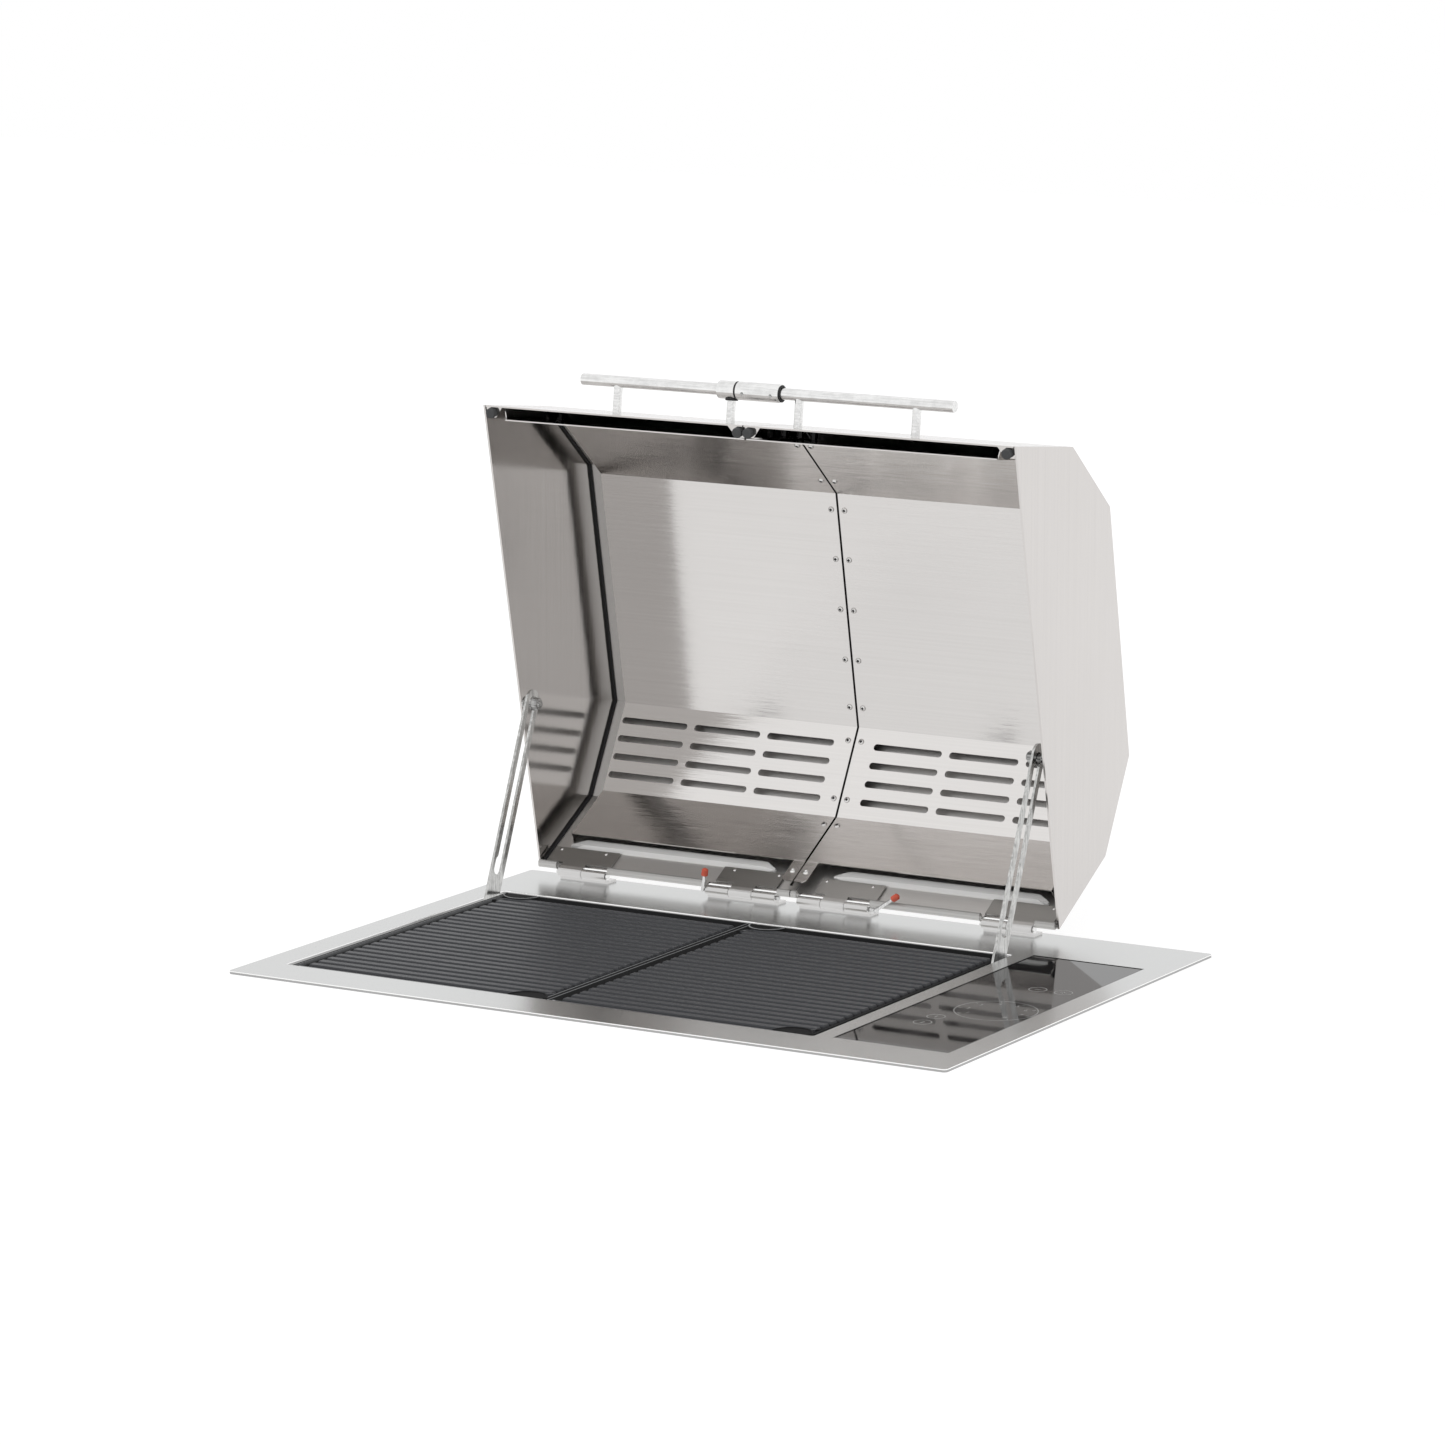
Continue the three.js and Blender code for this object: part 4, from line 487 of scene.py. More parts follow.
# %% [markdown]
# ## Hinge leaves on the lid
# Each leaf is a plate that is rolled into a knuckle round the pin. The knuckle is painted paler
# than the plate, as light on the knuckle and shade on the plate. The distance from the hinge axis
# parts the two, and it needs no seam in the mesh. One leaf's plate is painted paler than the
# others', as light, so it gets a finish of its own.

# %% Leaf steel
KNUCKLE_REACH = (5.5 * MM, 7.5 * MM)
# Painted light on the knuckles, painted shade on the plates; one plate is painted paler as light.
KNUCKLE_HIGHLIGHT = (0.64, 0.635, 0.63)
LEAF_LIGHT_AND_SHADE_TONES = {"leaf_steel": (0.37, 0.365, 0.355), "lit_leaf_steel": (0.47, 0.465, 0.455)}


def knuckle_painted_light(steel, tone, rough):
    """Painted light on the knuckle under the plate."""
    offset = steel.vector("SUBTRACT", steel.spot(), tuple(HINGE))
    from_axis = steel.vector("LENGTH", steel.vector("MULTIPLY", offset, (0, 1, 1)))
    return steel.mix(steel.ramp(from_axis, *KNUCKLE_REACH), KNUCKLE_HIGHLIGHT, tone), rough


for name, painted_leaf_tone in LEAF_LIGHT_AND_SHADE_TONES.items():
    brushed(name, ALONG_X, painted_leaf_tone, roughness=0.3, tilt=0.08, change=knuckle_painted_light)
print(len(FINISHES), "finishes so far")

# %% [markdown]
# ## Polished bar
# The handle, the stays and the pins look like drawn and polished bar. Polishing leaves faint
# lines along the bar and haze between them. A noise stretched along the bar gives both the lines'
# tone and their small height, which a plain gloss value wouldn't show.

# %% Polished steel
LINES_ALONG = 26.0
LINES_ACROSS = 520.0
HAZE_PER_METRE = 130.0
HAZE_ROUGHNESS = 0.12
LINE_SHARE = 0.7
LINE_CONTRAST = (0.35, 0.65)
LINE_HEIGHT = 0.03 * MM


def polished(name, color, roughness, grain=ALONG_X, contrast=0.2):
    """Bar with polishing lines along a direction in object space."""
    bar = finish(name, metallic=1.0)
    stretch = [LINES_ALONG if abs(part) > 0.5 else LINES_ACROSS for part in grain]
    lines = bar.noise(bar.place(scale=stretch), 1.0, detail=4.0, roughness=0.7)
    haze = bar.noise(bar.place(), HAZE_PER_METRE, detail=3.0)
    dark = tuple(part * (1 - contrast) for part in color)
    light = tuple(min(1.0, part * (1 + contrast / 2)) for part in color)
    shades = bar.ramp(lines * LINE_SHARE + haze * (1 - LINE_SHARE), *LINE_CONTRAST)
    bar.set(base_color=bar.mix(shades, dark, light))
    bar.set(roughness=(haze - 0.5) * HAZE_ROUGHNESS + roughness)
    bar.set(normal=bar.bump(lines, LINE_HEIGHT, strength=0.35))


polished("polished_tube", (0.82, 0.82, 0.815), roughness=0.18, contrast=0.16)
polished("polished_bar", (0.68, 0.68, 0.675), roughness=0.16, grain=ALONG_Z, contrast=0.3)
polished("screw_steel", (0.7, 0.69, 0.68), roughness=0.2)
polished("stay_steel", (0.56, 0.56, 0.55), roughness=0.2, grain=ALONG_Z, contrast=0.35)
# Painted glints and shade: a dark bar whose lines have a strong contrast.
polished("nut_glint_steel", (0.32, 0.32, 0.315), roughness=0.12, contrast=0.85)
print(len(FINISHES), "finishes so far")

# %% [markdown]
# ## Cast grates
# The castings have a slate-coloured coat with a sandy texture. They are painted darkest between
# the ribs, in the gutters along the outer sides and the back, and beside the joint, as shade. The
# rims there and the ribs' ends beside the joint are painted pale, as highlights.
#
# Painting by hand would need an unwrapped mesh. The grates lie level, so height parts the ribs'
# crowns from what lies below, and plain distances from the castings' box give the gutters.

# %% Cast coat
CAST_LOW = Vector(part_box("grate_left")[0])
CAST_HIGH = Vector(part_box("grate_right")[1])
CAST_TOP = CAST_HIGH.z
CAST_JOINT = (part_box("grate_left")[1][0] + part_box("grate_right")[0][0]) / 2
RIGHT_GUTTER, LEFT_GUTTER, BACK_GUTTER, JOINT_GUTTER = 9 * MM, 7 * MM, 4.5 * MM, 6.5 * MM
GUTTER_SOFTNESS = 0.5 * MM
LEFT_RIM = (2.2 * MM, 3.6 * MM)
JOINT_RIM = (2.2 * MM, 3.4 * MM)
RIB_ENDS = (8 * MM, 10.5 * MM)
RIM_SOFTNESS = 0.3 * MM
OPEN_DEPTH = (4.8 * MM, 0.8 * MM)
CROWN_DEPTH = (0.9 * MM, 0.1 * MM)

cast = finish("cast_coat", specular_ior_level=0.35)
across, deep, height = (cast.axis(cast.place(), which) for which in range(3))
joint = abs(across - CAST_JOINT)
open_face = cast.ramp(height, *(CAST_TOP - depth for depth in OPEN_DEPTH))
crown = cast.ramp(height, *(CAST_TOP - depth for depth in CROWN_DEPTH))
in_right = past(cast, across, CAST_HIGH.x - RIGHT_GUTTER, GUTTER_SOFTNESS)
in_left = 1 - past(cast, across, CAST_LOW.x + LEFT_GUTTER, GUTTER_SOFTNESS)
in_back = past(cast, deep, CAST_HIGH.y - BACK_GUTTER, GUTTER_SOFTNESS)
# Painted shade: 0 in the gutters, beside the joint and below the ribs' open faces.
unshaded = (1 - in_right) * (1 - in_left) * (1 - in_back) * open_face
unshaded = unshaded * past(cast, joint, JOINT_GUTTER, GUTTER_SOFTNESS)
left_rim = band(cast, across - CAST_LOW.x, *LEFT_RIM, RIM_SOFTNESS)
# Painted highlights on the left rim, on the rims beside the joint and on the ribs' ends.
pale = left_rim.larger(band(cast, joint, *JOINT_RIM, RIM_SOFTNESS)) * open_face
rib_ends = band(cast, across - CAST_JOINT, *RIB_ENDS, RIM_SOFTNESS) * crown
print("the castings' joint lies at x", round(CAST_JOINT, 4), "and their top at", round(CAST_TOP, 4))

# %% [markdown]
# With the masks made, the coat is built up in layers: sandy slate first, then wear on the crowns,
# then painted shade, and last the painted highlights over it.

# %% Coat over the masks
GRAINS_PER_METRE = 1500.0
BLOTCHES_PER_METRE = 26.0
COAT_DARK, COAT_LIGHT = (0.032, 0.033, 0.037), (0.056, 0.058, 0.064)
CROWN_TONE, CROWN_WEAR = (0.1, 0.102, 0.108), 0.45
# Painted highlight on the ribs' ends beside the joint.
RIB_END_HIGHLIGHT, RIB_END_HIGHLIGHT_SHARE = (0.5, 0.505, 0.51), 0.8
# Painted highlight on the rims.
RIM_HIGHLIGHT = (0.2, 0.205, 0.21)
# Painted shade in the gutters, below the ribs, beside the joint and over the dishes.
DEEP_SHADE = (0.003, 0.003, 0.0035)
COAT_ROUGHNESS, SHADED_PART_ROUGHNESS = 0.5, 0.4
BLOTCH_ROUGHNESS, SAND_ROUGHNESS = 0.15, 0.2
CROWN_POLISH = 0.08
SAND_HEIGHT = 0.12 * MM

sand = cast.noise(cast.place(), GRAINS_PER_METRE, detail=3.0, roughness=0.7)
blotch = cast.noise(cast.place(), BLOTCHES_PER_METRE, detail=3.0)
coat = cast.mix(blotch * 0.5 + sand * 0.5, COAT_DARK, COAT_LIGHT)
worn_coat = cast.mix(crown * CROWN_WEAR, coat, CROWN_TONE)
shaded_and_highlighted = cast.mix(pale, cast.mix(unshaded, DEEP_SHADE, worn_coat), RIM_HIGHLIGHT)
cast.set(base_color=cast.mix(rib_ends * RIB_END_HIGHLIGHT_SHARE, shaded_and_highlighted, RIB_END_HIGHLIGHT))
uneven = (blotch - 0.5) * BLOTCH_ROUGHNESS + (sand - 0.5) * SAND_ROUGHNESS
gloss = uneven - crown * CROWN_POLISH
cast.set(roughness=(1 - unshaded) * SHADED_PART_ROUGHNESS + gloss + COAT_ROUGHNESS)
cast.set(normal=cast.bump(sand, SAND_HEIGHT, strength=0.35))
print("the cast coat is made of", len(cast.tree.nodes), "nodes")

# %% [markdown]
# ## Moulded and fired parts
# Caps, bumpers, housings, boards and ceramics are moulded or fired, with a fine even texture. Each
# could have a finish of its own, but they differ in colour and grain only. So one recipe serves
# them all: a fine noise for the surface's grain and a wide one for its shades.

# %% Plastics, rubber and ceramic
SHADES_PER_METRE = 45.0
SHADE_SHARE = 0.7
SHADE_DARKNESS = 0.85
SHADE_ROUGHNESS = 0.1


def moulded(name, color, roughness, grain_size, depth):
    """Plastic, rubber or ceramic with a grain of this size and depth, in metres."""
    body = finish(name)
    fine = body.noise(body.place(), 1 / grain_size, detail=2.0)
    wide = body.noise(body.place(), SHADES_PER_METRE, detail=2.0)
    dark = tuple(part * SHADE_DARKNESS for part in color)
    shades = wide * SHADE_SHARE + fine * (1 - SHADE_SHARE)
    body.set(base_color=body.mix(shades, dark, color))
    body.set(roughness=(wide - 0.5) * SHADE_ROUGHNESS + roughness)
    body.set(normal=body.bump(fine, depth, strength=0.4))


for recipe in (  # name, colour, roughness, size and depth of the grain in metres
    ("red_vinyl", (0.6, 0.09, 0.045), 0.35, 0.0008, 0.00003),
    ("bumper_rubber", (0.06, 0.061, 0.063), 0.75, 0.0006, 0.00006),
    # Black rubber, also used as painted shade for the screw recesses and the side joints.
    ("rubber_and_shade_black", (0.012, 0.012, 0.013), 0.6, 0.0006, 0.00003),
    ("housing_plastic", (0.03, 0.03, 0.032), 0.5, 0.0008, 0.00005),
    ("gland_nylon", (0.05, 0.05, 0.052), 0.45, 0.0009, 0.00004),
    ("ceramic", (0.72, 0.69, 0.62), 0.7, 0.0007, 0.00006),
    ("ceramic_print", (0.36, 0.36, 0.35), 0.5, 0.0004, 0.00001),
    ("circuit_board", (0.03, 0.16, 0.06), 0.5, 0.001, 0.00003),
):
    moulded(*recipe)
print(len(FINISHES), "finishes so far")

# %% [markdown]
# ## Dressing the CAD nodes
# Every node keeps its solid and swaps its plain import material for a finish. The first name
# in the list that starts a node's name decides, so a longer name stands before a shorter one.
#
# In the photo the liner mirrors light from the front, and neither the deck's strips, the dark
# grates nor the slim stay on its left. We keep those pieces out of mirror rays for the same
# effect. The price is that steel and glass lack their mirror images from other sides too.

# %% Finishes for the nodes
DRESS = {
    "deck": "deck_steel",
    "base_pan": "dull_steel",
    "junction_box": "dull_steel",
    "element_bridge": "dull_steel",
    "firebox": "liner_steel",
    "centre_support": "liner_steel",
    "heating_element": "sheath_steel",
    "drip_tray": "tray_aluminium",
    "terminal_block": "ceramic",
    "control_glass": "black_glass",
    "control_housing": "housing_plastic",
    "touch_board": "circuit_board",
    "power_board": "circuit_board",
    "cable_gland": "gland_nylon",
    "grate": "cast_coat",
    "bumper": "bumper_rubber",
    "release_cap": "red_vinyl",
    "release_pin": "polished_bar",
    "hinge_pin": "polished_tube",
    "base_leaf": "base_leaf_steel",
    "lid_leaf_inner_right": "lit_leaf_steel",
    "lid_leaf": "leaf_steel",
    "lid_skin": "skin_steel",
    "handle": "polished_tube",
    "stay_nut": "nut_glint_steel",
    "stay_stud": "nut_glint_steel",
    "stay": "stay_steel",
    "lid_side": "panel_steel",
    "lid": "liner_steel",
    "seam_strip": "seam_steel",
}
UNMIRRORED = (
    "deck", "grate", "firebox", "centre", "heating", "element", "drip", "base_pan",
    "stay_arm_left", "stay_nut_left", "stay_screw_left", "stay_stud_left",
)
for node_name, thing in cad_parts.items():
    key = next(start for start in DRESS if node_name.startswith(start))
    for slot in thing.material_slots:
        slot.material = FINISHES[DRESS[key]]
    thing.visible_glossy = not node_name.startswith(UNMIRRORED)
print("dressed", len(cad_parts), "nodes in", len(set(DRESS.values())), "finishes")

# %% [markdown]
# ## Screws and rivets
# A head is a turned part, so we spin a short line of points about Z. The alternatives, a stack of
# cylinders or a bevelled one, give the same outline with more steps.

# %% Turned heads
HEAD_STEPS = 12
PAN_HEAD = [(3.1, -0.1), (3.1, 0.5), (2.7, 1.1), (1.7, 1.45), (1.25, 1.45), (1.05, 0.6), (0, 0.5)]


def turned(profile, steps=HEAD_STEPS):
    """A bmesh of revolution from (radius, height) pairs in millimetres."""
    shape = bmesh.new()
    line = [shape.verts.new((radius * MM, 0, height * MM)) for radius, height in profile]
    edges = [shape.edges.new(pair) for pair in zip(line, line[1:])]
    bmesh.ops.spin(
        shape, geom=line + edges, axis=(0, 0, 1), cent=(0, 0, 0),
        steps=steps, angle=math.tau, use_duplicate=False, use_merge=True,
    )
    bmesh.ops.remove_doubles(shape, verts=shape.verts, dist=0.01 * MM)
    bmesh.ops.recalc_face_normals(shape, faces=shape.faces)
    return shape


sample = turned(PAN_HEAD)
print("a screw head has", len(sample.faces), "faces")
sample.free()

# %% [markdown]
# The two liners are screwed to the strip behind their seam. The screws stand in pairs: five down
# the flat back and the rest on the bent fields. We give them as shares of each field's length
# between the liner's bends, on the shut lid. A ray then finds the sheet, so each seat is exact,
# whichever way the sheet leans.

# %% Seats of the seam screws
LINER_BENDS = [(-15.4, -0.6), (-50.1, 101.5), (-125.0, 161.8), (-374.0, 161.8), (-448.8, 101.6)]
SEAM_SCREW_SHARES = [(0.885,), (0.2, 0.845), (0.085, 0.29, 0.505, 0.72, 0.93), (0.235, 0.89)]
SEAM_SCREW_OFFSET = 7.6
RAY_REACH = 30 * MM


def seat_on(node_name, spot, inward):
    """A frame on the face nearest a spot, seen from the side that inward points to."""
    start = spot + inward.normalized() * RAY_REACH
    found, hit, normal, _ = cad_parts[node_name].ray_cast(
        start, -inward.normalized(), distance=2 * RAY_REACH
    )
    if not found:
        raise ValueError(f"nothing to sit on at {tuple(spot)}")
    return Matrix.Translation(hit) @ normal.to_track_quat("Z", "Y").to_matrix().to_4x4()


bpy.context.view_layer.update()
seam_places = []
for start, end, shares in zip(LINER_BENDS, LINER_BENDS[1:], SEAM_SCREW_SHARES):
    along = Vector((0, end[0] - start[0], end[1] - start[1])).normalized()
    inward = open_lid.to_3x3() @ Vector((0, -along.z, along.y))
    for share in shares:
        y = start[0] + (end[0] - start[0]) * share
        z = start[1] + (end[1] - start[1]) * share
        for side, label in ((-1, "left"), (1, "right")):
            spot = lid_point(side * SEAM_SCREW_OFFSET, y, z)
            seam_places.append(seat_on(f"lid_liner_{label}", spot, inward))
print(len(seam_places), "seats for seam screws")

# %% [markdown]
# One template serves all the copies of a size: we stamp it at a list of matrices, and all the
# copies make one piece. A piece rides on the body that it moves with and carries one finish.
#
# Each head has a dark mark in the photo, too small to tell what tool turns it. A small dark
# square that lies on the head stands for it, as painted shade of a recess. At this size a cut
# recess would look the same.

# %% Seam screws
# Painted shade of a screw recess.
RECESS_SHADE_SQUARE = [(1.75, 0.8), (1.75, 1.5), (0, 1.55)]
SQUARE_STEPS = 4


def piece_of(name, shape, body, finish_name, smooth=True):
    """Turns a bmesh into an object that rides on a body."""
    mesh = bpy.data.meshes.new(name)
    shape.to_mesh(mesh)
    shape.free()
    if smooth:
        mesh.shade_smooth()
    else:
        mesh.shade_flat()
    piece = bpy.data.objects.new(name, mesh)
    mesh.materials.append(FINISHES[finish_name])
    bpy.context.scene.collection.objects.link(piece)
    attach(piece, body)
    print("made", name, "of", len(mesh.polygons), "faces on", body)


def stamp(name, profile, places, body, finish_name, steps=HEAD_STEPS):
    """Copies of one turned shape, all in one piece."""
    head = turned(profile, steps)
    template = bpy.data.meshes.new(name + "_template")
    head.to_mesh(template)
    head.free()
    shape = bmesh.new()
    for matrix in places:
        before = len(shape.verts)
        shape.from_mesh(template)
        shape.verts.ensure_lookup_table()
        bmesh.ops.transform(shape, matrix=matrix, verts=shape.verts[before:])
    bpy.data.meshes.remove(template)
    piece_of(name, shape, body, finish_name)


stamp("seam_screws", PAN_HEAD, seam_places, "lid", "screw_steel")
stamp(
    "seam_recess_shades", RECESS_SHADE_SQUARE, seam_places, "lid", "rubber_and_shade_black",
    SQUARE_STEPS,
)

# %% [markdown]
# Two rivets hold each hinge leaf to the lid's back wall. In the photo they are small dots, and we
# take them for low domes, so they get a profile of their own. A ray finds their seats too.

# %% Leaf rivets
RIVET_HEAD = [(1.9, -0.1), (1.8, 0.3), (1.3, 0.7), (0.6, 0.9), (0, 0.95)]
LEAF_RIVET_SPOT = (-9.5, 26.6)
LEAF_RIVETS = {
    "outer_left": (-283.0, -230.0),
    "inner_left": (-78.3, -26.5),
    "inner_right": (28.4, 81.0),
    "outer_right": (230.0, 283.0),
}
for label, offsets in LEAF_RIVETS.items():
    places = [
        seat_on(f"lid_leaf_{label}", lid_point(x, *LEAF_RIVET_SPOT), wall_inward) for x in offsets
    ]
    stamp(f"leaf_rivets_{label}", RIVET_HEAD, places, "lid", "screw_steel")
print(2 * len(LEAF_RIVETS), "leaf rivets")

# %% [markdown]
# ## Painted shade in the side joints
# Inside the lid, a dark line follows the corner between each skin and its side panel. A black
# strip stands for it, as painted shade in the joint. A swept curve would twist at the lid's bends,
# so we set an outline in from the lid's profile by two depths, make one face of it and extrude
# that across the joint.

# %% Joint shade strip
LID_PROFILE = [(-3.4, 8), (-38, 110), (-120, 176), (-379, 176), (-461, 110), (-495.5, 2)]
STRIP_DEPTHS = (1.55, 2.9)
STRIP_FROM_SEAM = 293.9
STRIP_WIDTH = 2.5


def inset(line, depth):
    """The bent line moved towards the lid's middle by a depth."""
    points = [Vector(point) for point in line]
    runs = [(end - start).normalized() for start, end in zip(points, points[1:])]
    inward = [Vector((-run.y, run.x)) for run in runs]
    befores, afters = [inward[0], *inward], [*inward, inward[-1]]
    return [
        point + (before + after) * depth / (1 + before.dot(after))
        for point, before, after in zip(points, befores, afters)
    ]


def raise_faces(shape, faces, offset, keep):
    """Extrudes faces by an offset. Keep leaves a copy of them in the first place."""
    raised = bmesh.ops.extrude_face_region(shape, geom=faces, use_keep_orig=keep)
    ends = [item for item in raised["geom"] if isinstance(item, bmesh.types.BMVert)]
    bmesh.ops.translate(shape, vec=offset, verts=ends)


shade_strip = bmesh.new()
for side in (-1, 1):
    outline = inset(LID_PROFILE, STRIP_DEPTHS[0]) + inset(LID_PROFILE, STRIP_DEPTHS[1])[::-1]
    loop = [shade_strip.verts.new(lid_point(side * STRIP_FROM_SEAM, *point)) for point in outline]
    cap = shade_strip.faces.new(loop)
    raise_faces(shade_strip, [cap], (side * STRIP_WIDTH * MM, 0, 0), keep=True)
bmesh.ops.recalc_face_normals(shade_strip, faces=shade_strip.faces)
piece_of("joint_shade_strip", shade_strip, "lid", "rubber_and_shade_black", smooth=False)

# %% [markdown]
# ## Plates on the foot of the seam
# Below the liners the seam strip ends in a tab. The packed solid's tab tapers, and in the photo it
# keeps its width and has rounded lower corners. The packed solid stays as it is, so two plates
# cover it, one on each side of the slit. Each is a grid of one face with its lower outer corner
# rounded, thickened by an extrusion, and each has one screw.

# %% Plates on the seam's tab
TAB_SPOT = (-22.2, 21.0)
TAB_LOW, TAB_HIGH = -15.0, 15.7
TAB_GAP, TAB_EDGE = 0.7, 14.3
TAB_LIFT = 0.05
TAB_SHEET = 1.1
TAB_CORNER = 6.0
TAB_CORNER_STEPS = 4
TAB_SCREW_OFFSET = 7.6

tab_seat = seat_on("seam_strip", lid_point(0, *TAB_SPOT), wall_inward)
tab_frame = (
    Matrix.Translation(tab_seat.translation)
    @ Matrix((Vector((1, 0, 0)), wall_up, wall_inward)).transposed().to_4x4()
)
tab_size = Matrix.Diagonal(
    ((TAB_EDGE - TAB_GAP) * MM / 2, (TAB_HIGH - TAB_LOW) * MM / 2, 1, 1)
)
doubler = bmesh.new()
for side in (-1, 1):
    middle = (side * (TAB_EDGE + TAB_GAP) / 2, (TAB_HIGH + TAB_LOW) / 2, TAB_LIFT)
    matrix = Matrix.Translation(Vector(middle) * MM) @ tab_size
    made = bmesh.ops.create_grid(doubler, x_segments=1, y_segments=1, size=1.0, matrix=matrix)
    corner = min(made["verts"], key=lambda vert: vert.co.y - side * vert.co.x)
    bmesh.ops.bevel(
        doubler, geom=[corner], offset=TAB_CORNER * MM, segments=TAB_CORNER_STEPS,
        profile=0.5, affect="VERTICES", material=-1,
    )
raise_faces(doubler, doubler.faces[:], (0, 0, TAB_SHEET * MM), keep=False)
bmesh.ops.recalc_face_normals(doubler, faces=doubler.faces)
bmesh.ops.transform(doubler, matrix=tab_frame, verts=doubler.verts)
piece_of("seam_doubler", doubler, "lid", "liner_steel", smooth=False)
tab_places = [
    tab_frame @ Matrix.Translation(Vector((side * TAB_SCREW_OFFSET, 0, TAB_SHEET)) * MM)
    for side in (-1, 1)
]
stamp("tab_screws", PAN_HEAD, tab_places, "lid", "polished_tube")

# %% [markdown]
# ## Finger dishes on the grates
# Each grate is lifted by two hollows, one in its back left corner and one in its front right
# corner. In the photo they look like dark lenses, and the packed casting has a plain three-sided
# hollow. The packed solid stays as it is, so a thin half-round plate with a rim lies over each
# one and is painted dark as the shade of a hollow. It reads as a hollow from above, and from low
# down it shows as a plate. It is a turned profile cut in half along its straight side. The photo
# shows a pale line only at the back dishes, so only those get a painted highlight on the rim.

# %% Finger dishes
DISH = [(0, -0.3), (20, -0.3), (20, 0.9), (18.7, 0.9), (18.2, 0.15), (0, 0.15)]
DISH_STEPS = 32
DISH_FROM_CORNER = Vector((20.5, 1.5, 0)) * MM
RIM_HEIGHT = (0.4 * MM, 0.7 * MM)
DISH_RIM_HIGHLIGHT = (0.3, 0.305, 0.31)
MIDDLE_SOFTNESS = 1 * MM

dish = finish("dish_iron", roughness=0.85, specular_ior_level=0.3)
dish_rim = dish.ramp(dish.axis(dish.place(), 2), *(CAST_TOP + part for part in RIM_HEIGHT))
dish_back = past(dish, dish.axis(dish.place(), 1), 0, MIDDLE_SOFTNESS)
# Painted shade over the dish, and a painted highlight on the back dishes' rims.
dish.set(base_color=dish.mix(dish_rim * dish_back, DEEP_SHADE, DISH_RIM_HIGHLIGHT))


def add_dish(shape, matrix):
    """Half of a turned dish."""
    half = turned(DISH, DISH_STEPS)
    parts = half.verts[:] + half.edges[:] + half.faces[:]
    bmesh.ops.bisect_plane(
        half, geom=parts, plane_co=(0, 0, 0), plane_no=(0, 1, 0), clear_outer=True
    )
    bmesh.ops.holes_fill(half, edges=[edge for edge in half.edges if edge.is_boundary])
    bmesh.ops.recalc_face_normals(half, faces=half.faces)
    bmesh.ops.transform(half, matrix=matrix, verts=half.verts)
    copy = bpy.data.meshes.new("dish_template")
    half.to_mesh(copy)
    half.free()
    shape.from_mesh(copy)
    bpy.data.meshes.remove(copy)


for label in ("left", "right"):
    low, high = (Vector(corner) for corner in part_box(f"grate_{label}"))
    dishes = bmesh.new()
    back = Vector((low.x + DISH_FROM_CORNER.x, high.y - DISH_FROM_CORNER.y, CAST_TOP))
    front = Vector((high.x - DISH_FROM_CORNER.x, low.y + DISH_FROM_CORNER.y, CAST_TOP))
    add_dish(dishes, Matrix.Translation(back))
    add_dish(dishes, Matrix.Translation(front) @ Matrix.Rotation(math.pi, 4, "Z"))
    piece_of(
        f"finger_dishes_{label}", dishes, f"grate_{label}", "dish_iron", smooth=False
    )

# %% [markdown]
# ## Rings at the handle's sleeve
# The photo shows thin dark crescents at the sleeve that joins the two handle bars: one at its
# right end, one between it and its collar, and one where a post enters the collar. We read them
# as rubber rings. A torus would be too round for them, so each is a turned profile of its own.

# %% Sleeve rings
RING_STEPS = 24
JOINT_RING = [(6.3, -1.1), (9.0, -1.1), (9.1, -0.9), (9.1, 1), (8.9, 1.1), (6.3, 1.1), (6.3, -1.1)]
JOINT_RING_SHIFT = -1.1 * MM
END_RING = [(6, -0.4), (8.3, -0.4), (8.5, 0.2), (8.1, 0.7), (6.2, 0.7), (6, -0.4)]
sleeve_low, sleeve_high = (Vector(corner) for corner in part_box("handle_sleeve"))
sleeve_axis = (sleeve_low + sleeve_high) / 2
for name, profile, x in (
    ("sleeve_joint_ring", JOINT_RING, sleeve_low.x + JOINT_RING_SHIFT),
    ("sleeve_end_ring", END_RING, sleeve_high.x),
):
    ring_place = Matrix.Translation((x, sleeve_axis.y, sleeve_axis.z))
    ring_place @= Matrix.Rotation(math.pi / 2, 4, "Y")
    stamp(name, profile, [ring_place], "lid", "rubber_and_shade_black", RING_STEPS)

# %% [markdown]
# The post stands square on the lid's front face, so its ring takes its direction from that face
# and not from an angle that we would have to keep up with the lid's.

# %% Post ring
POST_RING = [(4.6, 7.2), (6.1, 7.2), (6.4, 9.2), (6.1, 10.2), (4.7, 10.2), (4.6, 7.2)]
POST_FROM_SEAM = 38.0
FACE_LOW, FACE_HIGH = lid_point(0, -497, -3), lid_point(0, -461, 110)
face_up = (FACE_HIGH - FACE_LOW).normalized()
post_down = Vector((1, 0, 0)).cross(face_up)
if post_down.dot(LID_MIDDLE - sleeve_axis) < 0:
    post_down.negate()
post_frame = Matrix.Translation((HINGE.x - POST_FROM_SEAM * MM, sleeve_axis.y, sleeve_axis.z))
post_frame @= post_down.to_track_quat("Z", "X").to_matrix().to_4x4()
stamp("post_ring", POST_RING, [post_frame], "lid", "rubber_and_shade_black", RING_STEPS)

# %% [markdown]
# ## Marks on the touch glass
# A touch glass needs places to press: one dial ring with eight steps, a numbered ring for each
# zone, and a minus and a plus key. Their form is our own. An image could carry them, but flat
# inlays of mesh stay sharp at any distance and need no file. They are thinner than paper and lie a
# hair above the glass, so that the two faces don't fight.

# %% Rings, lines and numbers
INK = 0.04 * MM
LINE = 0.9 * MM
INK_TOP = GLASS_HIGH.z + INK
NUMBER_FINENESS = 3


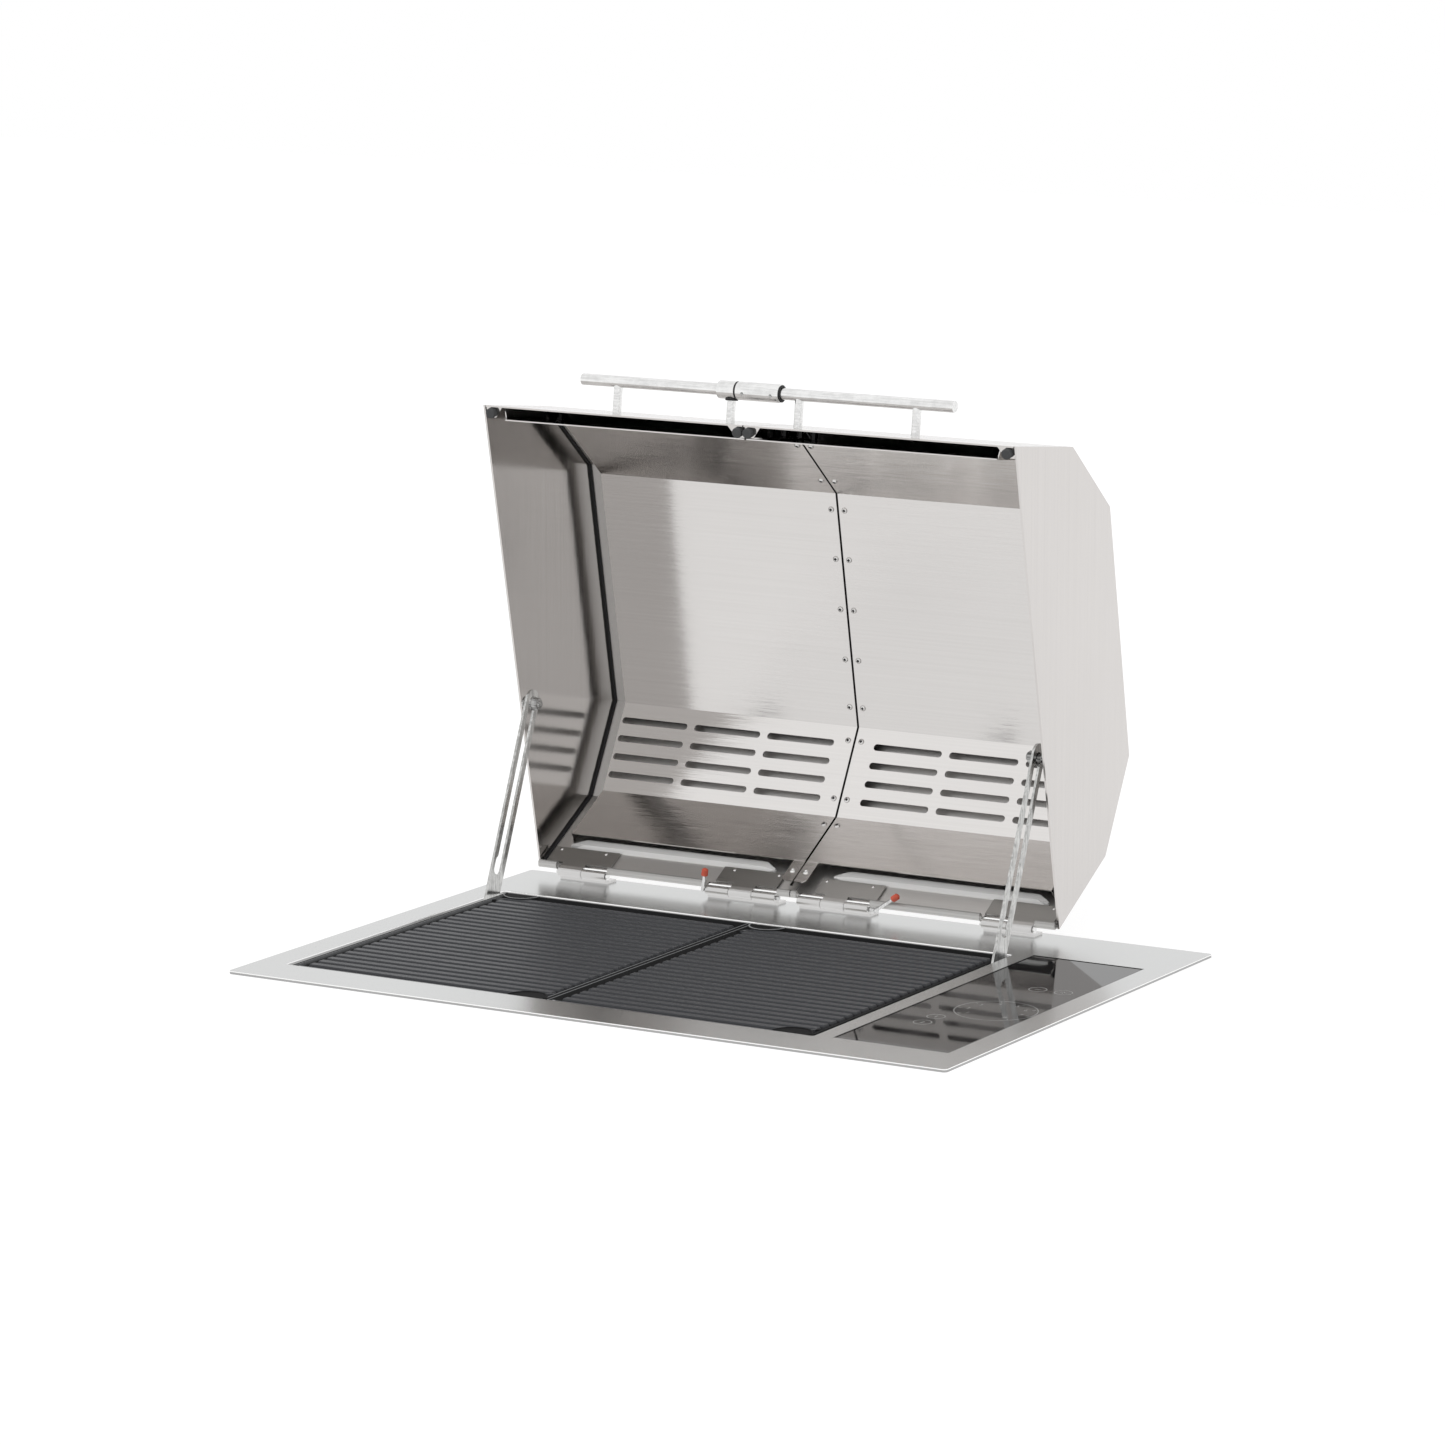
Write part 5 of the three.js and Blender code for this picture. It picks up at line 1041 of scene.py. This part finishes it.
def flat_ring(shape, centre, radius, steps):
    """A thin ring that lies on the glass."""
    edges = []
    for size in (radius, radius - LINE):
        made = bmesh.ops.create_circle(shape, segments=steps, radius=size)
        bmesh.ops.translate(shape, vec=(centre.x, centre.y, INK_TOP), verts=made["verts"])
        edges += list({edge for vert in made["verts"] for edge in vert.link_edges})
    bmesh.ops.bridge_loops(shape, edges=edges)


def flat_line(shape, centre, angle, inner, outer):
    """A short line along a ray from a centre."""
    matrix = (
        Matrix.Translation((centre.x, centre.y, INK_TOP))
        @ Matrix.Rotation(angle, 4, "Z")
        @ Matrix.Translation(((inner + outer) / 2, 0, 0))
        @ Matrix.Diagonal(((outer - inner) / 2, LINE / 2, 1, 1))
    )
    bmesh.ops.create_grid(shape, x_segments=1, y_segments=1, size=1.0, matrix=matrix)


def flat_number(shape, body, centre, size):
    """A plain number, made as text and turned into mesh."""
    text = bpy.data.curves.new("number", "FONT")
    text.body = body
    text.size = size
    text.align_x = "CENTER"
    text.align_y = "CENTER"
    text.resolution_u = NUMBER_FINENESS
    holder = bpy.data.objects.new("number", text)
    mesh = bpy.data.meshes.new_from_object(holder)
    before = len(shape.verts)
    shape.from_mesh(mesh)
    shape.verts.ensure_lookup_table()
    spot = (centre.x, centre.y, INK_TOP)
    bmesh.ops.translate(shape, vec=spot, verts=shape.verts[before:])
    bpy.data.objects.remove(holder)
    bpy.data.curves.remove(text)
    bpy.data.meshes.remove(mesh)


print("the marks lie at", round(INK_TOP, 5))

# %% [markdown]
# The dial's steps run clockwise over three quarters of a turn. All marks go into one mesh, because
# one ink prints them. The last line shows that the dial ends inside the glass.

# %% Touch marks
DIAL = Vector((318.0, -44.0, 0)) * MM
DIAL_RADIUS = 39.5 * MM
DIAL_CORNERS, KEY_CORNERS = 48, 32
DIAL_STEPS = 8
DIAL_START, DIAL_SWEEP = 225, 270
STEP_LINE = (6 * MM, 2.5 * MM)
NUMBER_INSET = 12 * MM
NUMBER_SIZE = 8 * MM
ZONE_RINGS = {"1": (281.0, -92.0), "2": (281.0, -118.0)}
MINUS_KEY, PLUS_KEY = (311.0, 53.0), (338.0, 53.0)
KEY_RADIUS = 9 * MM
SIGN_HALF = 3.5 * MM

marks = bmesh.new()
flat_ring(marks, DIAL, DIAL_RADIUS, DIAL_CORNERS)
for step in range(DIAL_STEPS):
    angle = math.radians(DIAL_START - DIAL_SWEEP * step / (DIAL_STEPS - 1))
    flat_line(marks, DIAL, angle, DIAL_RADIUS - STEP_LINE[0], DIAL_RADIUS - STEP_LINE[1])
    ray = Vector((math.cos(angle), math.sin(angle), 0))
    flat_number(marks, str(step + 1), DIAL + ray * (DIAL_RADIUS - NUMBER_INSET), NUMBER_SIZE)
for number, spot in ZONE_RINGS.items():
    centre = Vector((*spot, 0)) * MM
    flat_ring(marks, centre, KEY_RADIUS, KEY_CORNERS)
    flat_number(marks, number, centre, KEY_RADIUS)
for spot in (MINUS_KEY, PLUS_KEY):
    centre = Vector((*spot, 0)) * MM
    flat_ring(marks, centre, KEY_RADIUS, KEY_CORNERS)
    flat_line(marks, centre, 0, -SIGN_HALF, SIGN_HALF)
flat_line(marks, Vector((*PLUS_KEY, 0)) * MM, math.pi / 2, -SIGN_HALF, SIGN_HALF)
piece_of("touch_marks", marks, "base", "ceramic_print", smooth=False)
print("dial to x", round(DIAL.x + DIAL_RADIUS, 4), "and glass to", round(GLASS_HIGH.x, 4))

# %% [markdown]
# ## The worktop
# The deck's rim rests on a pale worktop with a cut-out for the pan, so the pan hangs hidden
# below. The photo doesn't show it either. A boolean could cut that hole. Four straight cuts
# across one grid do it too, and leave clean faces.

# %% Worktop mesh
WORKTOP_SIZE = 14.0
CUT_GROWTH = 4 * MM

pan_low, pan_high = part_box("base_pan")
worktop_top = pan_high[2]
cut_low = [side - CUT_GROWTH for side in pan_low]
cut_high = [side + CUT_GROWTH for side in pan_high]
shape = bmesh.new()
bmesh.ops.create_grid(shape, x_segments=1, y_segments=1, size=WORKTOP_SIZE / 2)
bmesh.ops.translate(shape, vec=(0, 0, worktop_top), verts=shape.verts)
for spot, normal in (
    ((cut_low[0], 0, worktop_top), (1, 0, 0)),
    ((cut_high[0], 0, worktop_top), (1, 0, 0)),
    ((0, cut_low[1], worktop_top), (0, 1, 0)),
    ((0, cut_high[1], worktop_top), (0, 1, 0)),
):
    parts = shape.verts[:] + shape.edges[:] + shape.faces[:]
    bmesh.ops.bisect_plane(shape, geom=parts, plane_co=spot, plane_no=normal)
hole = []
for face in shape.faces:
    middle = face.calc_center_median()
    if cut_low[0] < middle.x < cut_high[0] and cut_low[1] < middle.y < cut_high[1]:
        hole.append(face)
bmesh.ops.delete(shape, geom=hole, context="FACES")
worktop_sheet = bpy.data.meshes.new("worktop")
shape.to_mesh(worktop_sheet)
shape.free()
print("worktop at", round(worktop_top, 4), "with", len(worktop_sheet.polygons), "faces")

# %% [markdown]
# The photo's ground is white paper. A board that only returns light would come out grey, and one
# that glows for all would wash the steel out. So the worktop is a plain white board to light that
# bounces, and glows where the camera, or a mirror, looks at it. The Light Path node tells the two
# kinds of ray apart. The world does the same with its strength: a white studio all round.

# %% Worktop paper and studio
CAMERA_RAY, GLOSSY_RAY, SINGULAR_RAY = 0, 3, 4
PAPER_GLOW = 0.82
SKY_FOR_LIGHT = 0.6
SKY_ADDED_WHEN_SEEN = 0.4


def seen_ray(shader):
    """1 for rays from the camera, and for those that a mirror or glass sends on."""
    kinds = (CAMERA_RAY, GLOSSY_RAY, SINGULAR_RAY)
    rays = [shader.node("LightPath", out=kind) for kind in kinds]
    return rays[0].larger(rays[1].larger(rays[2]))


board = finish("worktop_white", base_color=(0.8, 0.8, 0.8, 1.0), roughness=0.7)
plain = Wire(board.tree, board.shader.outputs[0])
glowing = board.node(
    "BsdfPrincipled", base_color=(0.22, 0.22, 0.22, 1.0), roughness=0.8,
    emission_color=(1, 1, 1, 1), emission_strength=PAPER_GLOW,
)
either = board.node("MixShader", s0=seen_ray(board), s1=plain, s2=glowing)
plug(board.tree, board.tree.nodes["Material Output"].inputs[0], either)
worktop_sheet.materials.append(FINISHES["worktop_white"])
worktop = bpy.data.objects.new("worktop", worktop_sheet)
bpy.context.scene.collection.objects.link(worktop)

world = bpy.data.worlds.new("studio")
world.use_nodes = True
bpy.context.scene.world = world
sky = Shader(world.node_tree, world.node_tree.nodes["Background"])
sky.set(color=(1, 1, 1, 1), strength=seen_ray(sky) * SKY_ADDED_WHEN_SEEN + SKY_FOR_LIGHT)
print("paper of", len(board.tree.nodes), "nodes and sky of", len(sky.tree.nodes))

# %% [markdown]
# ## Two suns
# An even sky alone leaves metal flat. Two wide soft suns from the front give the edges some shape.
# Area lamps would do it too, and a sun needs no distance or size. A sun shows as a disc in
# polished steel, so both stay out of reflections.

# %% Lamps
LAMP_SPOT = Vector((0, 0, 2))


def sun(name, direction, strength, spread):
    """A wide soft light that stays out of reflections."""
    data = bpy.data.lights.new(name, "SUN")
    data.energy = strength
    data.angle = math.radians(spread)
    light = bpy.data.objects.new(name, data)
    light.matrix_world = aim(LAMP_SPOT, Vector(direction))
    light.visible_glossy = False
    bpy.context.scene.collection.objects.link(light)
    print("sun", name, "of strength", strength)


sun("key", (0.5, 0.62, -0.75), strength=1.15, spread=50)
sun("fill", (-0.75, 0.5, -0.45), strength=0.6, spread=70)
bpy.context.scene.view_settings.view_transform = "Standard"

# %% The end
print("wrote both boxes for", len(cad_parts), "nodes and the pieces added to them")
